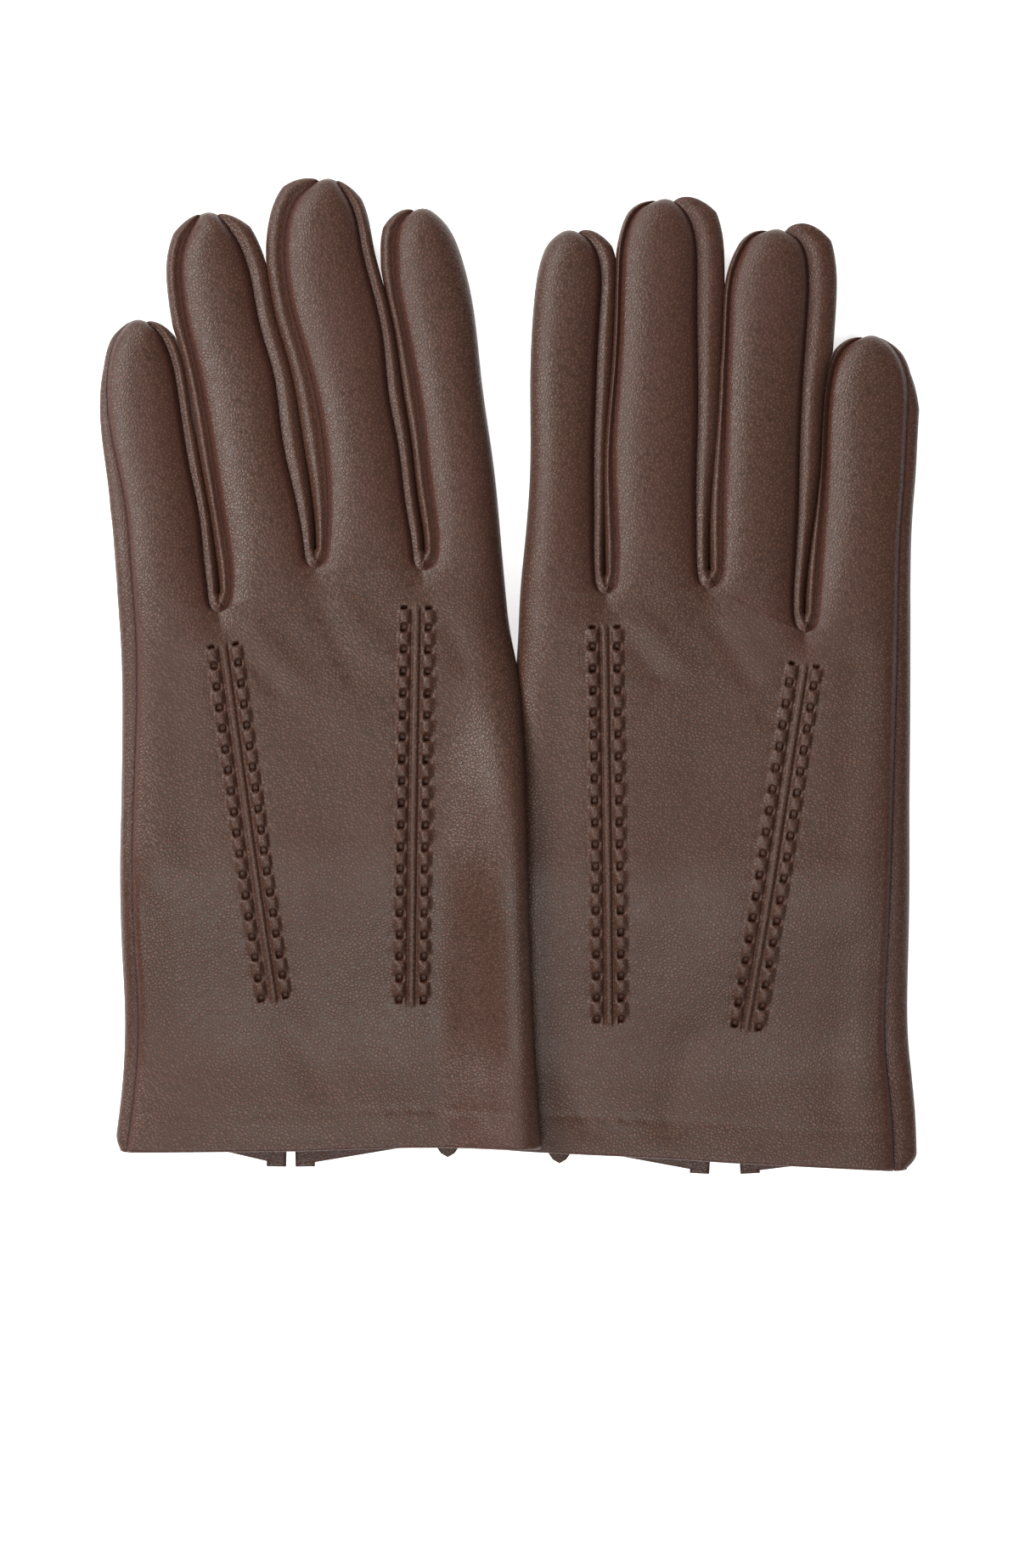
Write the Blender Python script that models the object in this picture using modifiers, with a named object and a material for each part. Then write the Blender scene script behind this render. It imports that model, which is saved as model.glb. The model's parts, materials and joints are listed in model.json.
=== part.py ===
"""A pair of lined leather dress gloves, laid palm down with the thumbs tucked under the palms.

Each glove is drawn flat on its own bench axes, in millimetres: U runs across the hand towards
the index finger, V from the cuff towards the fingertips, and W up from the middle of the glove's
thickness. The flat glove is then laid on the table, where the palm rests on the tucked thumb and
the cuff and fingertips touch down. The left glove's thumb side climbs over the right glove.

Row frame: metres, +Z up, +Y towards the fingertips, origin under the middle of the pair.
"""

import math
from dataclasses import dataclass

import bpy
from mathutils import Vector

MM = 0.001

# Sheet thicknesses, and the gap that stands for a sewn joint, which thicker leather needs wider.
LEATHER = 0.9
LINING = 0.7
LAYER_GAP = 0.85
SEAM_GAP = LEATHER - 0.3
LINING_INSET = LEATHER + LAYER_GAP

# Hand section: the flattened tube between the cuff and the knuckles.
CUFF_WIDTH = 105.0
WRIST_WIDTH = 101.2
WRIST_AT = 62.0
KNUCKLE_EDGE = 1.3
CUFF_HALF_HEIGHT = 5.0
PALM_HALF_HEIGHT = 6.2
CUFF_FLAT = 18.0
PALM_STARTS = 76.0
HAND_SQUARENESS = 3.5
HAND_FLATNESS = 1.02
SIDE_SEAM_DEG = 148.0
HAND_COLUMNS = 32
HAND_ROWS = 9

# Knuckle crease: where the finger stalls bend, and the wedges cut for that bend.
LITTLE_BASE = 141.0
CREASE_CLEARANCE = 0.5
CURL_LIMIT_DEG = 80.0
LIFT_LIMIT_DEG = 30.0
CURL_WEDGE = math.tan(math.radians(CURL_LIMIT_DEG / 2))
LIFT_WEDGE = math.tan(math.radians(LIFT_LIMIT_DEG / 2))

# Finger section.
FINGER_SQUARENESS = 2.3
FINGER_SEAM_DEG = 42.0
SEAM_TURN = 8.27
TIP_HALF_HEIGHT = 5.3
TIP_ROUNDING = 14.0
TIP_SQUARENESS = 2.2
STALL_GAP = 0.7
FINGER_ROWS = 5

# Fourchette crotches, the short walls between neighbouring fingers.
CROTCH_RADIUS = 3.2
CROTCH_SETBACK = 5.6

# Thumb, a flat stall under the palm that swings about the middle of its hole. Its heel stays
# clear of the slope between the cuff and the palm.
THUMB_LENGTH = 60.0
THUMB_HALF_WIDTH = 13.0
THUMB_HALF_HEIGHT = 4.6
THUMB_HEEL = 57.0
THUMB_AT = (27.0, THUMB_HEEL + THUMB_HALF_WIDTH)
THUMB_TUCK_DEG = 38.0
THUMB_HOLE_RADIUS = 10.5
THUMB_CLEARANCE = 0.65
PALM_LEVEL = 2 * THUMB_HALF_HEIGHT + THUMB_CLEARANCE + PALM_HALF_HEIGHT

# Cuff vent in the palm, its facing, and the pull tab at the hem.
VENT_AT = -8.0
VENT_LENGTH = 45.0
VENT_MOUTH = 5.0
VENT_APEX = 1.2
VENT_SPLAY = 4.5
VENT_SPLAY_REACH = 16.0
FACING_REACH = 7.0
HEM_DEPTH = 9.0
TAB_WIDTH = 5.2
TAB_OUT = 4.0
TAB_IN = 6.5

# Laced points: two leather laces along each of the two raised lines on the back.
LACE_WIDTH = 1.7
LACE_THICKNESS = 0.5
LACE_OFFSET = 2.9
THIN_GAP = 0.5

# How far the left glove's thumb side is raised to lie over the right glove.
OVERLAP_LIFT = 2 * PALM_HALF_HEIGHT - 2.9
OVERLAP_RAMP = (26.0, 49.0)
OVERLAP_FADE = (80.0, 135.0)


@dataclass(frozen=True)
class Finger:
    """One finger stall's pattern: half its width at the knuckle and near the tip, and its length."""

    name: str
    half_width: float
    tip_half_width: float
    length: float


LITTLE = Finger("little", 12.4, 10.6, 66.5)
RING = Finger("ring", 12.4, 12.4, 90.0)
MIDDLE = Finger("middle", 12.4, 12.4, 94.0)
INDEX = Finger("index", 10.1, 10.1, 85.5)
FINGERS = (LITTLE, RING, MIDDLE, INDEX)
KNUCKLE_WIDTH = (
    2 * sum(finger.half_width for finger in FINGERS)
    + STALL_GAP * (len(FINGERS) - 1)
    + KNUCKLE_EDGE
)


@dataclass(frozen=True)
class Lay:
    """How one glove lies: side is +1 where the index finger is towards +X."""

    name: str
    side: int
    cuff_middle: tuple
    knuckle_shift: float
    cuff_slope: float
    leans: tuple
    overlap_lift: float
    points: tuple
    tab_at: float


LEFT = Lay(
    name="left",
    side=1,
    cuff_middle=(8.68 - CUFF_WIDTH / 2, -116.38),
    knuckle_shift=-6.2,
    cuff_slope=0.018,
    leans=(-6.6, -9.4, -7.5, -7.6),
    overlap_lift=OVERLAP_LIFT,
    points=(((21.4, 133.5), (19.6, 36.8)), ((-27.1, 125.2), (-14.6, 37.0))),
    tab_at=27.8,
)
RIGHT = Lay(
    name="right",
    side=-1,
    cuff_middle=(CUFF_WIDTH / 2 - 3.02, -119.78),
    knuckle_shift=-3.0,
    cuff_slope=0.055,
    leans=(-3.7, -5.2, -3.75, -2.8),
    overlap_lift=0.0,
    points=(((25.2, 133.6), (24.0, 34.6)), ((-24.6, 123.7), (-10.8, 33.1))),
    tab_at=36.9,
)


def smooth(value, low, high):
    """0 below low, 1 above high, with an S-shaped rise between."""
    share = min(1.0, max(0.0, (value - low) / (high - low)))
    return share * share * (3 - 2 * share)


def mix(a, b, share):
    return a + (b - a) * share


def signed_power(value, exponent):
    return math.copysign(abs(value) ** exponent, value)


def section(half_width, half_height, angle, squareness):
    """A point on a flattened round section, angle 0 at +U and a quarter turn at the top."""
    return (
        half_width * signed_power(math.cos(angle), 2 / squareness),
        half_height * signed_power(math.sin(angle), 2 / squareness),
    )


def hand_section(half_width, half_height, angle):
    """The hand's section, with its highest and lowest bands pressed flat."""
    across, up = section(half_width, half_height, angle, HAND_SQUARENESS)
    return across, max(-half_height, min(half_height, HAND_FLATNESS * up))


def end_rounding(distance, reach):
    """How much of the full width is left at this distance before a rounded end."""
    share = min(1.0, max(0.0, 1 - distance / reach))
    return max(0.0, 1 - share**TIP_SQUARENESS) ** (1 / TIP_SQUARENESS)


def inward(place, depth, side):
    """The same surface, moved this far into the glove along its own normal."""

    def moved(across, along):
        low_a, high_a = max(0.0, across - 0.01), min(1.0, across + 0.01)
        low_b, high_b = max(0.0, along - 0.01), min(1.0, along + 0.01)
        over = place(high_a, along) - place(low_a, along)
        ahead = place(across, high_b) - place(across, low_b)
        normal = over.cross(ahead).normalized() * side
        return place(across, along) - normal * depth * MM

    return moved


class Hand:
    """The hand section of one glove and where each finger springs from it."""

    def __init__(self, lay):
        self.lay = lay
        self.bases = self.finger_bases()

    def finger_bases(self):
        """Each finger's crease middle (u, v). Neighbouring crease lines meet between the fingers."""
        bases = []
        u = self.lay.knuckle_shift - KNUCKLE_WIDTH / 2 + KNUCKLE_EDGE / 2
        v = LITTLE_BASE
        for finger, lean in zip(FINGERS, self.lay.leans):
            rise = -math.tan(math.radians(lean)) * finger.half_width
            if bases:
                v += rise
            u += finger.half_width
            bases.append((u, v))
            u += finger.half_width + STALL_GAP
            v += rise
        return bases

    def knuckle(self, u):
        """The crease line's v at this u, straight between the fingers' crease middles."""
        ends = [(-1e3, None), *self.bases, (1e3, None)]
        for (u0, v0), (u1, v1) in zip(ends, ends[1:]):
            if u > u1:
                continue
            if v0 is None:
                return v1 - (u - u1) * math.tan(math.radians(self.lay.leans[0]))
            if v1 is None:
                return v0 - (u - u0) * math.tan(math.radians(self.lay.leans[-1]))
            return mix(v0, v1, (u - u0) / (u1 - u0))
        return self.bases[-1][1]

    def half_width(self, v):
        if v < WRIST_AT:
            return mix(CUFF_WIDTH, WRIST_WIDTH, smooth(v, -20.0, WRIST_AT)) / 2
        return mix(WRIST_WIDTH, KNUCKLE_WIDTH, (v - WRIST_AT) / (LITTLE_BASE - WRIST_AT)) / 2

    def half_height(self, v):
        return mix(CUFF_HALF_HEIGHT, PALM_HALF_HEIGHT, smooth(v, CUFF_FLAT, PALM_STARTS))

    def middle(self, v):
        return self.lay.knuckle_shift * max(0.0, v / LITTLE_BASE) ** 1.6

    def level(self, u, v):
        """Height of the glove's mid-plane over the table."""
        cuff = CUFF_HALF_HEIGHT
        rise = mix(cuff, PALM_LEVEL, smooth(v, CUFF_FLAT, PALM_STARTS))
        climb = smooth(u, *OVERLAP_RAMP) * (1 - smooth(v, *OVERLAP_FADE))
        return rise + self.lay.overlap_lift * climb

    def place(self, u, v, w):
        """A bench point laid on the table, in the row frame in metres."""
        x = self.lay.cuff_middle[0] + self.lay.side * u
        y = self.lay.cuff_middle[1] + v
        return Vector((x, y, self.level(u, v) + w)) * MM

    def top(self, u, v, inset=0.0):
        """Height w of the hand section's upper skin over the mid-plane."""
        share = min(1.0, abs(u - self.middle(v)) / (self.half_width(v) - inset))
        rounding = (1 - share**HAND_SQUARENESS) ** (1 / HAND_SQUARENESS)
        return (self.half_height(v) - inset) * min(1.0, HAND_FLATNESS * rounding)

    def hem(self, u, w):
        """The cuff edge's v: slanted as the glove lies, and splayed at the vent in the palm."""
        slant = self.lay.cuff_slope * u
        if w >= 0:
            return slant
        reach = (u - VENT_AT) / VENT_SPLAY_REACH
        return slant - VENT_SPLAY * math.exp(-reach * reach) * min(1.0, -w / CUFF_HALF_HEIGHT)

    def front(self, u, w):
        """The finger end's v, cut back in a wedge so that the stalls can curl and lift."""
        wedge = LIFT_WEDGE * w if w > 0 else -CURL_WEDGE * w
        return self.knuckle(u) - CREASE_CLEARANCE - wedge

    def skin(self, angle, share):
        """A point of the hand section's skin at this angle, share of the way from hem to front."""
        u0, w0 = hand_section(CUFF_WIDTH / 2, CUFF_HALF_HEIGHT, angle)
        u1, w1 = hand_section(KNUCKLE_WIDTH / 2, PALM_HALF_HEIGHT, angle)
        v = mix(self.hem(u0, w0), self.front(u1 + self.lay.knuckle_shift, w1), share)
        u, w = hand_section(self.half_width(v), self.half_height(v), angle)
        return self.place(u + self.middle(v), v, w)


def leather_finish(name, colour, roughness):
    finish = bpy.data.materials.new(name)
    finish.use_nodes = True
    shader = finish.node_tree.nodes["Principled BSDF"]
    shader.inputs["Base Color"].default_value = (*colour, 1.0)
    shader.inputs["Roughness"].default_value = roughness
    shader.inputs["Metallic"].default_value = 0.0
    return finish


def adopt(obj, name, finish, parent, collection):
    """Names the object, gives it its finish, and hangs it under its body's empty."""
    obj.name = name
    obj.data.name = name
    if finish is not None:
        obj.data.materials.append(finish)
    for owner in list(obj.users_collection):
        owner.objects.unlink(obj)
    collection.objects.link(obj)
    obj.parent = parent
    return obj


def sheet(name, place, columns, rows, thickness, finish, parent, collection, flip=False, offset=-1.0):
    """A sheet of leather or lining: a grid laid over place(across, along), given its thickness."""
    bpy.ops.mesh.primitive_grid_add(x_subdivisions=columns, y_subdivisions=rows, size=1)
    obj = adopt(bpy.context.object, name, finish, parent, collection)
    for vertex in obj.data.vertices:
        vertex.co = place(vertex.co.x + 0.5, vertex.co.y + 0.5)
    if flip:
        obj.data.flip_normals()
    obj.data.shade_smooth()
    wall = obj.modifiers.new("thickness", "SOLIDIFY")
    wall.thickness = thickness * MM
    wall.offset = offset
    return obj


def cut(obj, cutter):
    """Cuts the closed cutter out of the piece, after its thickness."""
    boolean = obj.modifiers.new("cut", "BOOLEAN")
    boolean.operation = "DIFFERENCE"
    boolean.object = cutter


def as_cutter(obj, name, collection):
    adopt(obj, name, None, None, collection)
    obj.hide_render = True
    obj.display_type = "WIRE"
    return obj


def round_cutter(name, centre, radius, low, high, collection):
    bpy.ops.mesh.primitive_cylinder_add(
        vertices=24,
        radius=radius * MM,
        depth=(high - low) * MM,
        location=(centre.x, centre.y, (low + high) / 2 * MM),
    )
    return as_cutter(bpy.context.object, name, collection)


def vent_cutter(hand, name, spare, end, collection):
    """A tapered block through the palm leather at the vent, wider than the slit by spare."""
    bpy.ops.mesh.primitive_cube_add(size=1)
    obj = as_cutter(bpy.context.object, name, collection)
    for vertex in obj.data.vertices:
        far, right, high = (part > 0 for part in (vertex.co.y, vertex.co.x, vertex.co.z))
        v = end if far else -3 * VENT_SPLAY
        half = mix(VENT_MOUTH, VENT_APEX, max(0.0, v / VENT_LENGTH)) / 2 + spare
        w = -1.0 if high else -3 * PALM_HALF_HEIGHT
        vertex.co = hand.place(VENT_AT + (half if right else -half), v, w)
    if hand.lay.side < 0:
        obj.data.flip_normals()
    return obj


class Stall:
    """One finger stall. Its own axes are x across towards the index side, y to the tip, z up."""

    def __init__(self, finger, side):
        self.finger = finger
        self.side = side

    def half_width(self, y):
        return mix(self.finger.half_width, self.finger.tip_half_width, smooth(y, 0, self.finger.length))

    def point(self, y, angle):
        finger = self.finger
        rounding = end_rounding(finger.length - y, TIP_ROUNDING)
        height = mix(PALM_HALF_HEIGHT, TIP_HALF_HEIGHT, smooth(y, 0, finger.length))
        x, z = section(self.half_width(y), height, angle, FINGER_SQUARENESS)
        return x * rounding, z * rounding

    def start(self, z, back=0.0):
        """Where a piece starts at this height, clear of the crease's wedge."""
        wedge = LIFT_WEDGE * z if z > 0 else -CURL_WEDGE * z
        return CREASE_CLEARANCE + wedge + back

    def strip(self, first_deg, last_deg, tip_gap=0.9, back=0.0):
        """A strip of the stall between two angles, as a function of across and along."""

        def place(across, along):
            angle = math.radians(mix(first_deg, last_deg, across))
            low = self.start(self.point(0.0, angle)[1], back)
            y = mix(low, self.finger.length - tip_gap, 1 - (1 - along) ** 1.6)
            x, z = self.point(y, angle)
            return Vector((self.side * x, y, z)) * MM

        return place


def seam_angle(half_width, half_height):
    """Half a seam gap as an angle on the finger section, in degrees. A tall section turns more
    sharply at its seams, so it needs a wider gap."""
    radius = math.hypot(half_width, half_height) * math.sqrt(0.5)
    return math.degrees(SEAM_GAP / radius) * half_height / SEAM_TURN


def finger_strips(stall):
    """The sewn pieces of one stall: name, first and last angle in degrees, and columns."""
    finger = stall.finger
    gap = seam_angle(finger.half_width, PALM_HALF_HEIGHT)
    back = (180 - FINGER_SEAM_DEG - gap, FINGER_SEAM_DEG + gap)
    index_side = (FINGER_SEAM_DEG - gap, -FINGER_SEAM_DEG + gap)
    palm = (-FINGER_SEAM_DEG - gap, -180 + FINGER_SEAM_DEG + gap)
    little_side = (-180 + FINGER_SEAM_DEG - gap, -180 - FINGER_SEAM_DEG + gap)
    if finger is INDEX:
        return [
            ("stall", back[0], palm[1], 16),
            ("fourchette_leg", *little_side, 4),
        ]
    if finger is LITTLE:
        return [
            ("back", *back, 6),
            ("palm", palm[0], little_side[1], 10),
            ("fourchette_leg", *index_side, 4),
        ]
    return [
        ("back", *back, 6),
        ("palm", *palm, 6),
        ("fourchette_leg_index_side", *index_side, 4),
        ("fourchette_leg_little_side", *little_side, 4),
    ]


def build_finger(hand, finger, lean, base, finishes, parts):
    """An empty on the knuckle crease, turned and pitched as the finger lies, with its pieces."""
    lay = hand.lay
    stall = Stall(finger, lay.side)
    crease = bpy.data.objects.new(f"{lay.name}_{finger.name}_crease", None)
    parts.objects.link(crease)
    crease.location = hand.place(*base, 0.0)
    drop = hand.level(*base) - TIP_HALF_HEIGHT
    pitch = math.asin(drop / (finger.length - TIP_ROUNDING / 2))
    crease.rotation_euler = (-pitch, 0.0, -lay.side * math.radians(lean))
    for piece, first, last, columns in finger_strips(stall):
        sheet(
            f"{lay.name}_{finger.name}_{piece}",
            stall.strip(first, last),
            columns,
            FINGER_ROWS,
            LEATHER,
            finishes["leather"],
            crease,
            parts,
            flip=lay.side < 0,
        )
    sheet(
        f"{lay.name}_{finger.name}_lining",
        inward(stall.strip(-3, -357, tip_gap=2.4, back=1.0), LINING_INSET, lay.side),
        18,
        FINGER_ROWS,
        LINING,
        finishes["lining"],
        crease,
        parts,
        flip=lay.side < 0,
    )


def thumb_strip(side, inset, gap_deg):
    """The thumb's stall: a flat bag, rounded at both ends, with its seam along one side."""
    half_width, half_height = THUMB_HALF_WIDTH - inset, THUMB_HALF_HEIGHT - inset
    length = THUMB_LENGTH - inset

    def place(across, along):
        angle = math.radians(mix(-gap_deg, gap_deg - 360, across))
        y = mix(0.5 - half_width, length - 0.5, 0.5 - 0.5 * math.cos(math.pi * along))
        ends = end_rounding(length - y, TIP_ROUNDING - inset)
        ends *= end_rounding(y + half_width, half_width)
        x, z = section(half_width, half_height, angle, FINGER_SQUARENESS)
        return Vector((side * x * ends, y, z * ends)) * MM

    return place


def build_thumb(hand, finishes, parts, cutters):
    """The thumb stall, tucked flat under the palm, on an empty at the middle of its hole."""
    lay = hand.lay
    hole = hand.place(*THUMB_AT, 0.0)
    pivot = bpy.data.objects.new(f"{lay.name}_thumb_pivot", None)
    parts.objects.link(pivot)
    level = THUMB_HALF_HEIGHT
    pivot.location = (hole.x, hole.y, level * MM)
    pivot.rotation_euler = (0.0, 0.0, lay.side * math.radians(THUMB_TUCK_DEG))
    mouth = round_cutter(
        f"{lay.name}_thumb_mouth_cutter", hole, THUMB_HOLE_RADIUS, level, PALM_LEVEL, cutters
    )
    for piece, inset, gap, wall, finish in (
        ("stall", 0.0, 2.5, LEATHER, "leather"),
        ("lining", LEATHER + THIN_GAP, 3.5, LINING, "lining"),
    ):
        bag = sheet(
            f"{lay.name}_thumb_{piece}",
            thumb_strip(lay.side, inset, gap),
            16,
            9,
            wall,
            finishes[finish],
            pivot,
            parts,
            flip=lay.side < 0,
        )
        cut(bag, mouth)


def build_hand(hand, finishes, parts, cutters):
    """The trank, its lining, the crotches between the fingers, the vent facing and the tab."""
    lay = hand.lay
    flip = lay.side < 0
    hole = hand.place(*THUMB_AT, 0.0)
    hole_cutter = round_cutter(
        f"{lay.name}_thumb_hole_cutter", hole, THUMB_HOLE_RADIUS, -1.0, PALM_LEVEL, cutters
    )
    slit = vent_cutter(hand, f"{lay.name}_vent_cutter", 0.0, VENT_LENGTH, cutters)
    room_end = VENT_LENGTH + FACING_REACH
    room = vent_cutter(hand, f"{lay.name}_facing_cutter", FACING_REACH, room_end, cutters)

    def wrapped(gap_deg):
        first, last = SIDE_SEAM_DEG - gap_deg, SIDE_SEAM_DEG + gap_deg - 360
        return lambda across, along: hand.skin(math.radians(mix(first, last, across)), along)

    trank = sheet(
        f"{lay.name}_trank",
        wrapped(1.2),
        HAND_COLUMNS,
        HAND_ROWS,
        LEATHER,
        finishes["leather"],
        None,
        parts,
        flip,
    )
    cut(trank, hole_cutter)
    cut(trank, slit)
    lined = inward(wrapped(1.6), LINING_INSET, lay.side)
    lining_from = HEM_DEPTH / LITTLE_BASE
    lining_to = 1 - (CROTCH_SETBACK + CROTCH_RADIUS + LEATHER) / LITTLE_BASE
    lining = sheet(
        f"{lay.name}_hand_lining",
        lambda across, along: lined(across, min(lining_to, max(lining_from, along))),
        HAND_COLUMNS,
        HAND_ROWS,
        LINING,
        finishes["lining"],
        None,
        parts,
        flip,
    )
    cut(lining, hole_cutter)
    cut(lining, room)

    def facing_place(across, along):
        v = mix(hand.hem(VENT_AT, -CUFF_HALF_HEIGHT) + 0.6, VENT_LENGTH + FACING_REACH / 2, along)
        u = VENT_AT + (FACING_REACH - LAYER_GAP) * (2 * across - 1)
        return hand.place(u, v, -hand.top(u, v, LINING_INSET))

    facing = sheet(
        f"{lay.name}_vent_facing",
        facing_place,
        2,
        8,
        LINING,
        finishes["leather"],
        None,
        parts,
        not flip,
    )
    cut(facing, slit)

    def tab_place(across, along):
        u = lay.tab_at + TAB_WIDTH / 2 * (2 * across - 1) * min(1.0, 0.35 + 2.2 * along)
        edge = hand.hem(lay.tab_at, -CUFF_HALF_HEIGHT)
        v = mix(edge - TAB_OUT, edge + TAB_IN, along)
        return hand.place(u, v, LINING_INSET - hand.top(u, max(0.0, v), LAYER_GAP))

    sheet(
        f"{lay.name}_pull_tab",
        tab_place,
        2,
        4,
        LINING,
        finishes["leather"],
        None,
        parts,
        not flip,
    )

    for number, (outer, inner) in enumerate(zip(FINGERS, FINGERS[1:])):
        u = (hand.bases[number][0] + hand.bases[number + 1][0]) / 2
        build_crotch(hand, f"{lay.name}_crotch_{outer.name}_{inner.name}", u, finishes, parts)


def build_crotch(hand, name, u, finishes, parts):
    """The bend of one fourchette: a half-round wall between the back and the palm."""
    v = hand.knuckle(u) - CROTCH_SETBACK
    reach = hand.top(u, v, LEATHER) - LAYER_GAP - 0.3

    def place(across, along):
        angle = math.pi * across
        return hand.place(
            u + CROTCH_RADIUS * math.cos(angle),
            v - CROTCH_RADIUS * math.sin(angle),
            mix(-reach, reach, along),
        )

    sheet(name, place, 6, 1, LEATHER, finishes["leather"], None, parts, offset=0.0)


def build_laces(hand, finishes, parts):
    """The leather laces, two along each point, lying just over the back."""
    lay = hand.lay
    for point, (top_end, wrist_end) in zip(("index_point", "little_point"), lay.points):
        for edge, offset in (("inner", -LACE_OFFSET), ("outer", LACE_OFFSET)):

            def place(across, along, offset=offset, top_end=top_end, wrist_end=wrist_end):
                v = mix(wrist_end[1], top_end[1], along)
                u = mix(wrist_end[0], top_end[0], along) + offset + LACE_WIDTH * (across - 0.5)
                over = THIN_GAP + LACE_THICKNESS
                return hand.place(u, v, hand.top(u, v, -over))

            sheet(
                f"{lay.name}_{point}_lace_{edge}",
                place,
                1,
                12,
                LACE_THICKNESS,
                finishes["lace"],
                None,
                parts,
                flip=lay.side < 0,
            )


def main():
    for obj in list(bpy.data.objects):
        bpy.data.objects.remove(obj)
    parts = bpy.data.collections.new("leather_gloves")
    cutters = bpy.data.collections.new("cutters")
    bpy.context.scene.collection.children.link(parts)
    bpy.context.scene.collection.children.link(cutters)
    finishes = {
        "leather": leather_finish("brown_nappa_leather", (0.115, 0.072, 0.058), 0.45),
        "lace": leather_finish("brown_leather_lace", (0.085, 0.050, 0.040), 0.5),
        "lining": leather_finish("brown_knit_lining", (0.060, 0.045, 0.038), 0.95),
    }
    for lay in (LEFT, RIGHT):
        hand = Hand(lay)
        build_hand(hand, finishes, parts, cutters)
        build_laces(hand, finishes, parts)
        for finger, lean, base in zip(FINGERS, lay.leans, hand.bases):
            build_finger(hand, finger, lean, base, finishes, parts)
        build_thumb(hand, finishes, parts, cutters)


main()
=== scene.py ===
"""A pair of men's dress gloves in brown nappa leather, laid side by side, palms down.

Every leather panel is cut from a pattern in millimetres and sewn to its neighbours. Each glove is
worked out on its own frame, where X runs from the little finger to the index finger, Y from the
cuff to the fingertips and Z up from the table. The right glove is that frame turned over in X.
"""

import json
import logging
import math
from collections.abc import Callable
from dataclasses import dataclass, field
from enum import Enum

import bpy
import numpy as np
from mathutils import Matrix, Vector

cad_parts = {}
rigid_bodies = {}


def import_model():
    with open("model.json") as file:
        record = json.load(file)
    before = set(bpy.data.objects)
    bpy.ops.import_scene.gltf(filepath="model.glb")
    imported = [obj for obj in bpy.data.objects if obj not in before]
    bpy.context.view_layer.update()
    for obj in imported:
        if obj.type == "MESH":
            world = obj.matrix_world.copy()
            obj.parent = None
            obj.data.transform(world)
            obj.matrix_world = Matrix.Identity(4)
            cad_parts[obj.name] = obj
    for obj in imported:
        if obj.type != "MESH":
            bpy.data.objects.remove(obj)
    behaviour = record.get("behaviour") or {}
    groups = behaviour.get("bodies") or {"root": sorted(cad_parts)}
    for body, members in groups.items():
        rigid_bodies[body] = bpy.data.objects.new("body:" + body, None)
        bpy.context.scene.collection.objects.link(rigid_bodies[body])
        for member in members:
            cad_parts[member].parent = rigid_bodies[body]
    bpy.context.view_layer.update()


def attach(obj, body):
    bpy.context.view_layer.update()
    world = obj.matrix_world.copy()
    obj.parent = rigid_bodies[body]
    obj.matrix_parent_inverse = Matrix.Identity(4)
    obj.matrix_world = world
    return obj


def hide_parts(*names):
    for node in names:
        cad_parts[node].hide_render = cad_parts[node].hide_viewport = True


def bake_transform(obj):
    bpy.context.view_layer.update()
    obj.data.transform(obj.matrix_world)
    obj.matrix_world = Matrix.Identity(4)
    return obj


MM = 0.001
LOG = logging.getLogger("gloves")
Marks = tuple[tuple[float, float], ...]
Array = np.ndarray

# The hand's thickness and the height of its middle over the table, in millimetres.
CUFF_HALF = 5.0
PALM_HALF = 6.2
CUFF_LEVEL = 5.0
PALM_LEVEL = 16.05
TIP_LEVEL = 5.35
TIP_HALF = 5.05
CUFF_FLAT = 18.0
PALM_STARTS = 76.0

# The rows of the hand run from the hem up to the forks.
HEM_Y = -118.0
HAND_LENGTH = 143.0

# How the leather curves at its edges.
FOLD_ROUND = 11.0
FINGER_ROUND = 9.0
TIP_ROUND = 9.5
SEAM_FALL = 2.4
FALL_REACH = 12.0
FORK_DROP = 1.7
FINGER_DROP = 2.7
SIDE_DROP = (1.5, 2.2)
ROLL_MOST = 5.2
NARROW_ROLL = 1.5  # What a wide side roll leaves for the narrow roll that it meets.
FORK_FILL = 1.3  # How far the rolls reach past the middle of the gap, close to a fork.
ROLL_PRESS = 0.12
ROLL_RISE = 1.0
SEAM_PINCH = 0.85
SEAM_WIDTH = 0.75
SEAM_STITCH = 2.4
CAP_HALF = 2.2
CAP_RISE = 0.6
TIP_TAPER = 7.0

# The rolled hem, its turning inside the cuff, and the blind stitches that hold it.
HEM_RADIUS = 0.85
HEM_TURN = 9.0
HEM_STITCH = 5.3
LINING_INSET = 2.35

# The slit in the palm side of the cuff.
VENT_LENGTH = 45.0
VENT_APEX = 0.9
VENT_REACH = (14.0, 28.0)

# The thumb stall.
THUMB_HALF_WIDTH = 13.0
THUMB_HALF_HEIGHT = 4.6
THUMB_LENGTH = 60.0
UPWARD = np.array([0.0, 0.0, 1.0])


def smooth(value: Array | float, low: float, high: float) -> Array | float:
    """Rises from 0 at low to 1 at high along an S.

    Args:
        value: Where to read the rise.
        low: The value that gives 0.
        high: The value that gives 1.

    Returns:
        The share of the rise, of the same shape as value.
    """
    share = np.clip((np.asarray(value, float) - low) / (high - low), 0.0, 1.0)
    return share * share * (3 - 2 * share)


def mix(start: Array | float, end: Array | float, share: Array | float) -> Array | float:
    """Returns the value that lies this share of the way from start to end."""
    return start + (end - start) * share


def bell(value: Array | float, width: float) -> Array | float:
    """Returns 1 at zero, falling away smoothly over this width."""
    return np.exp(-((np.asarray(value, float) / width) ** 2))


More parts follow.
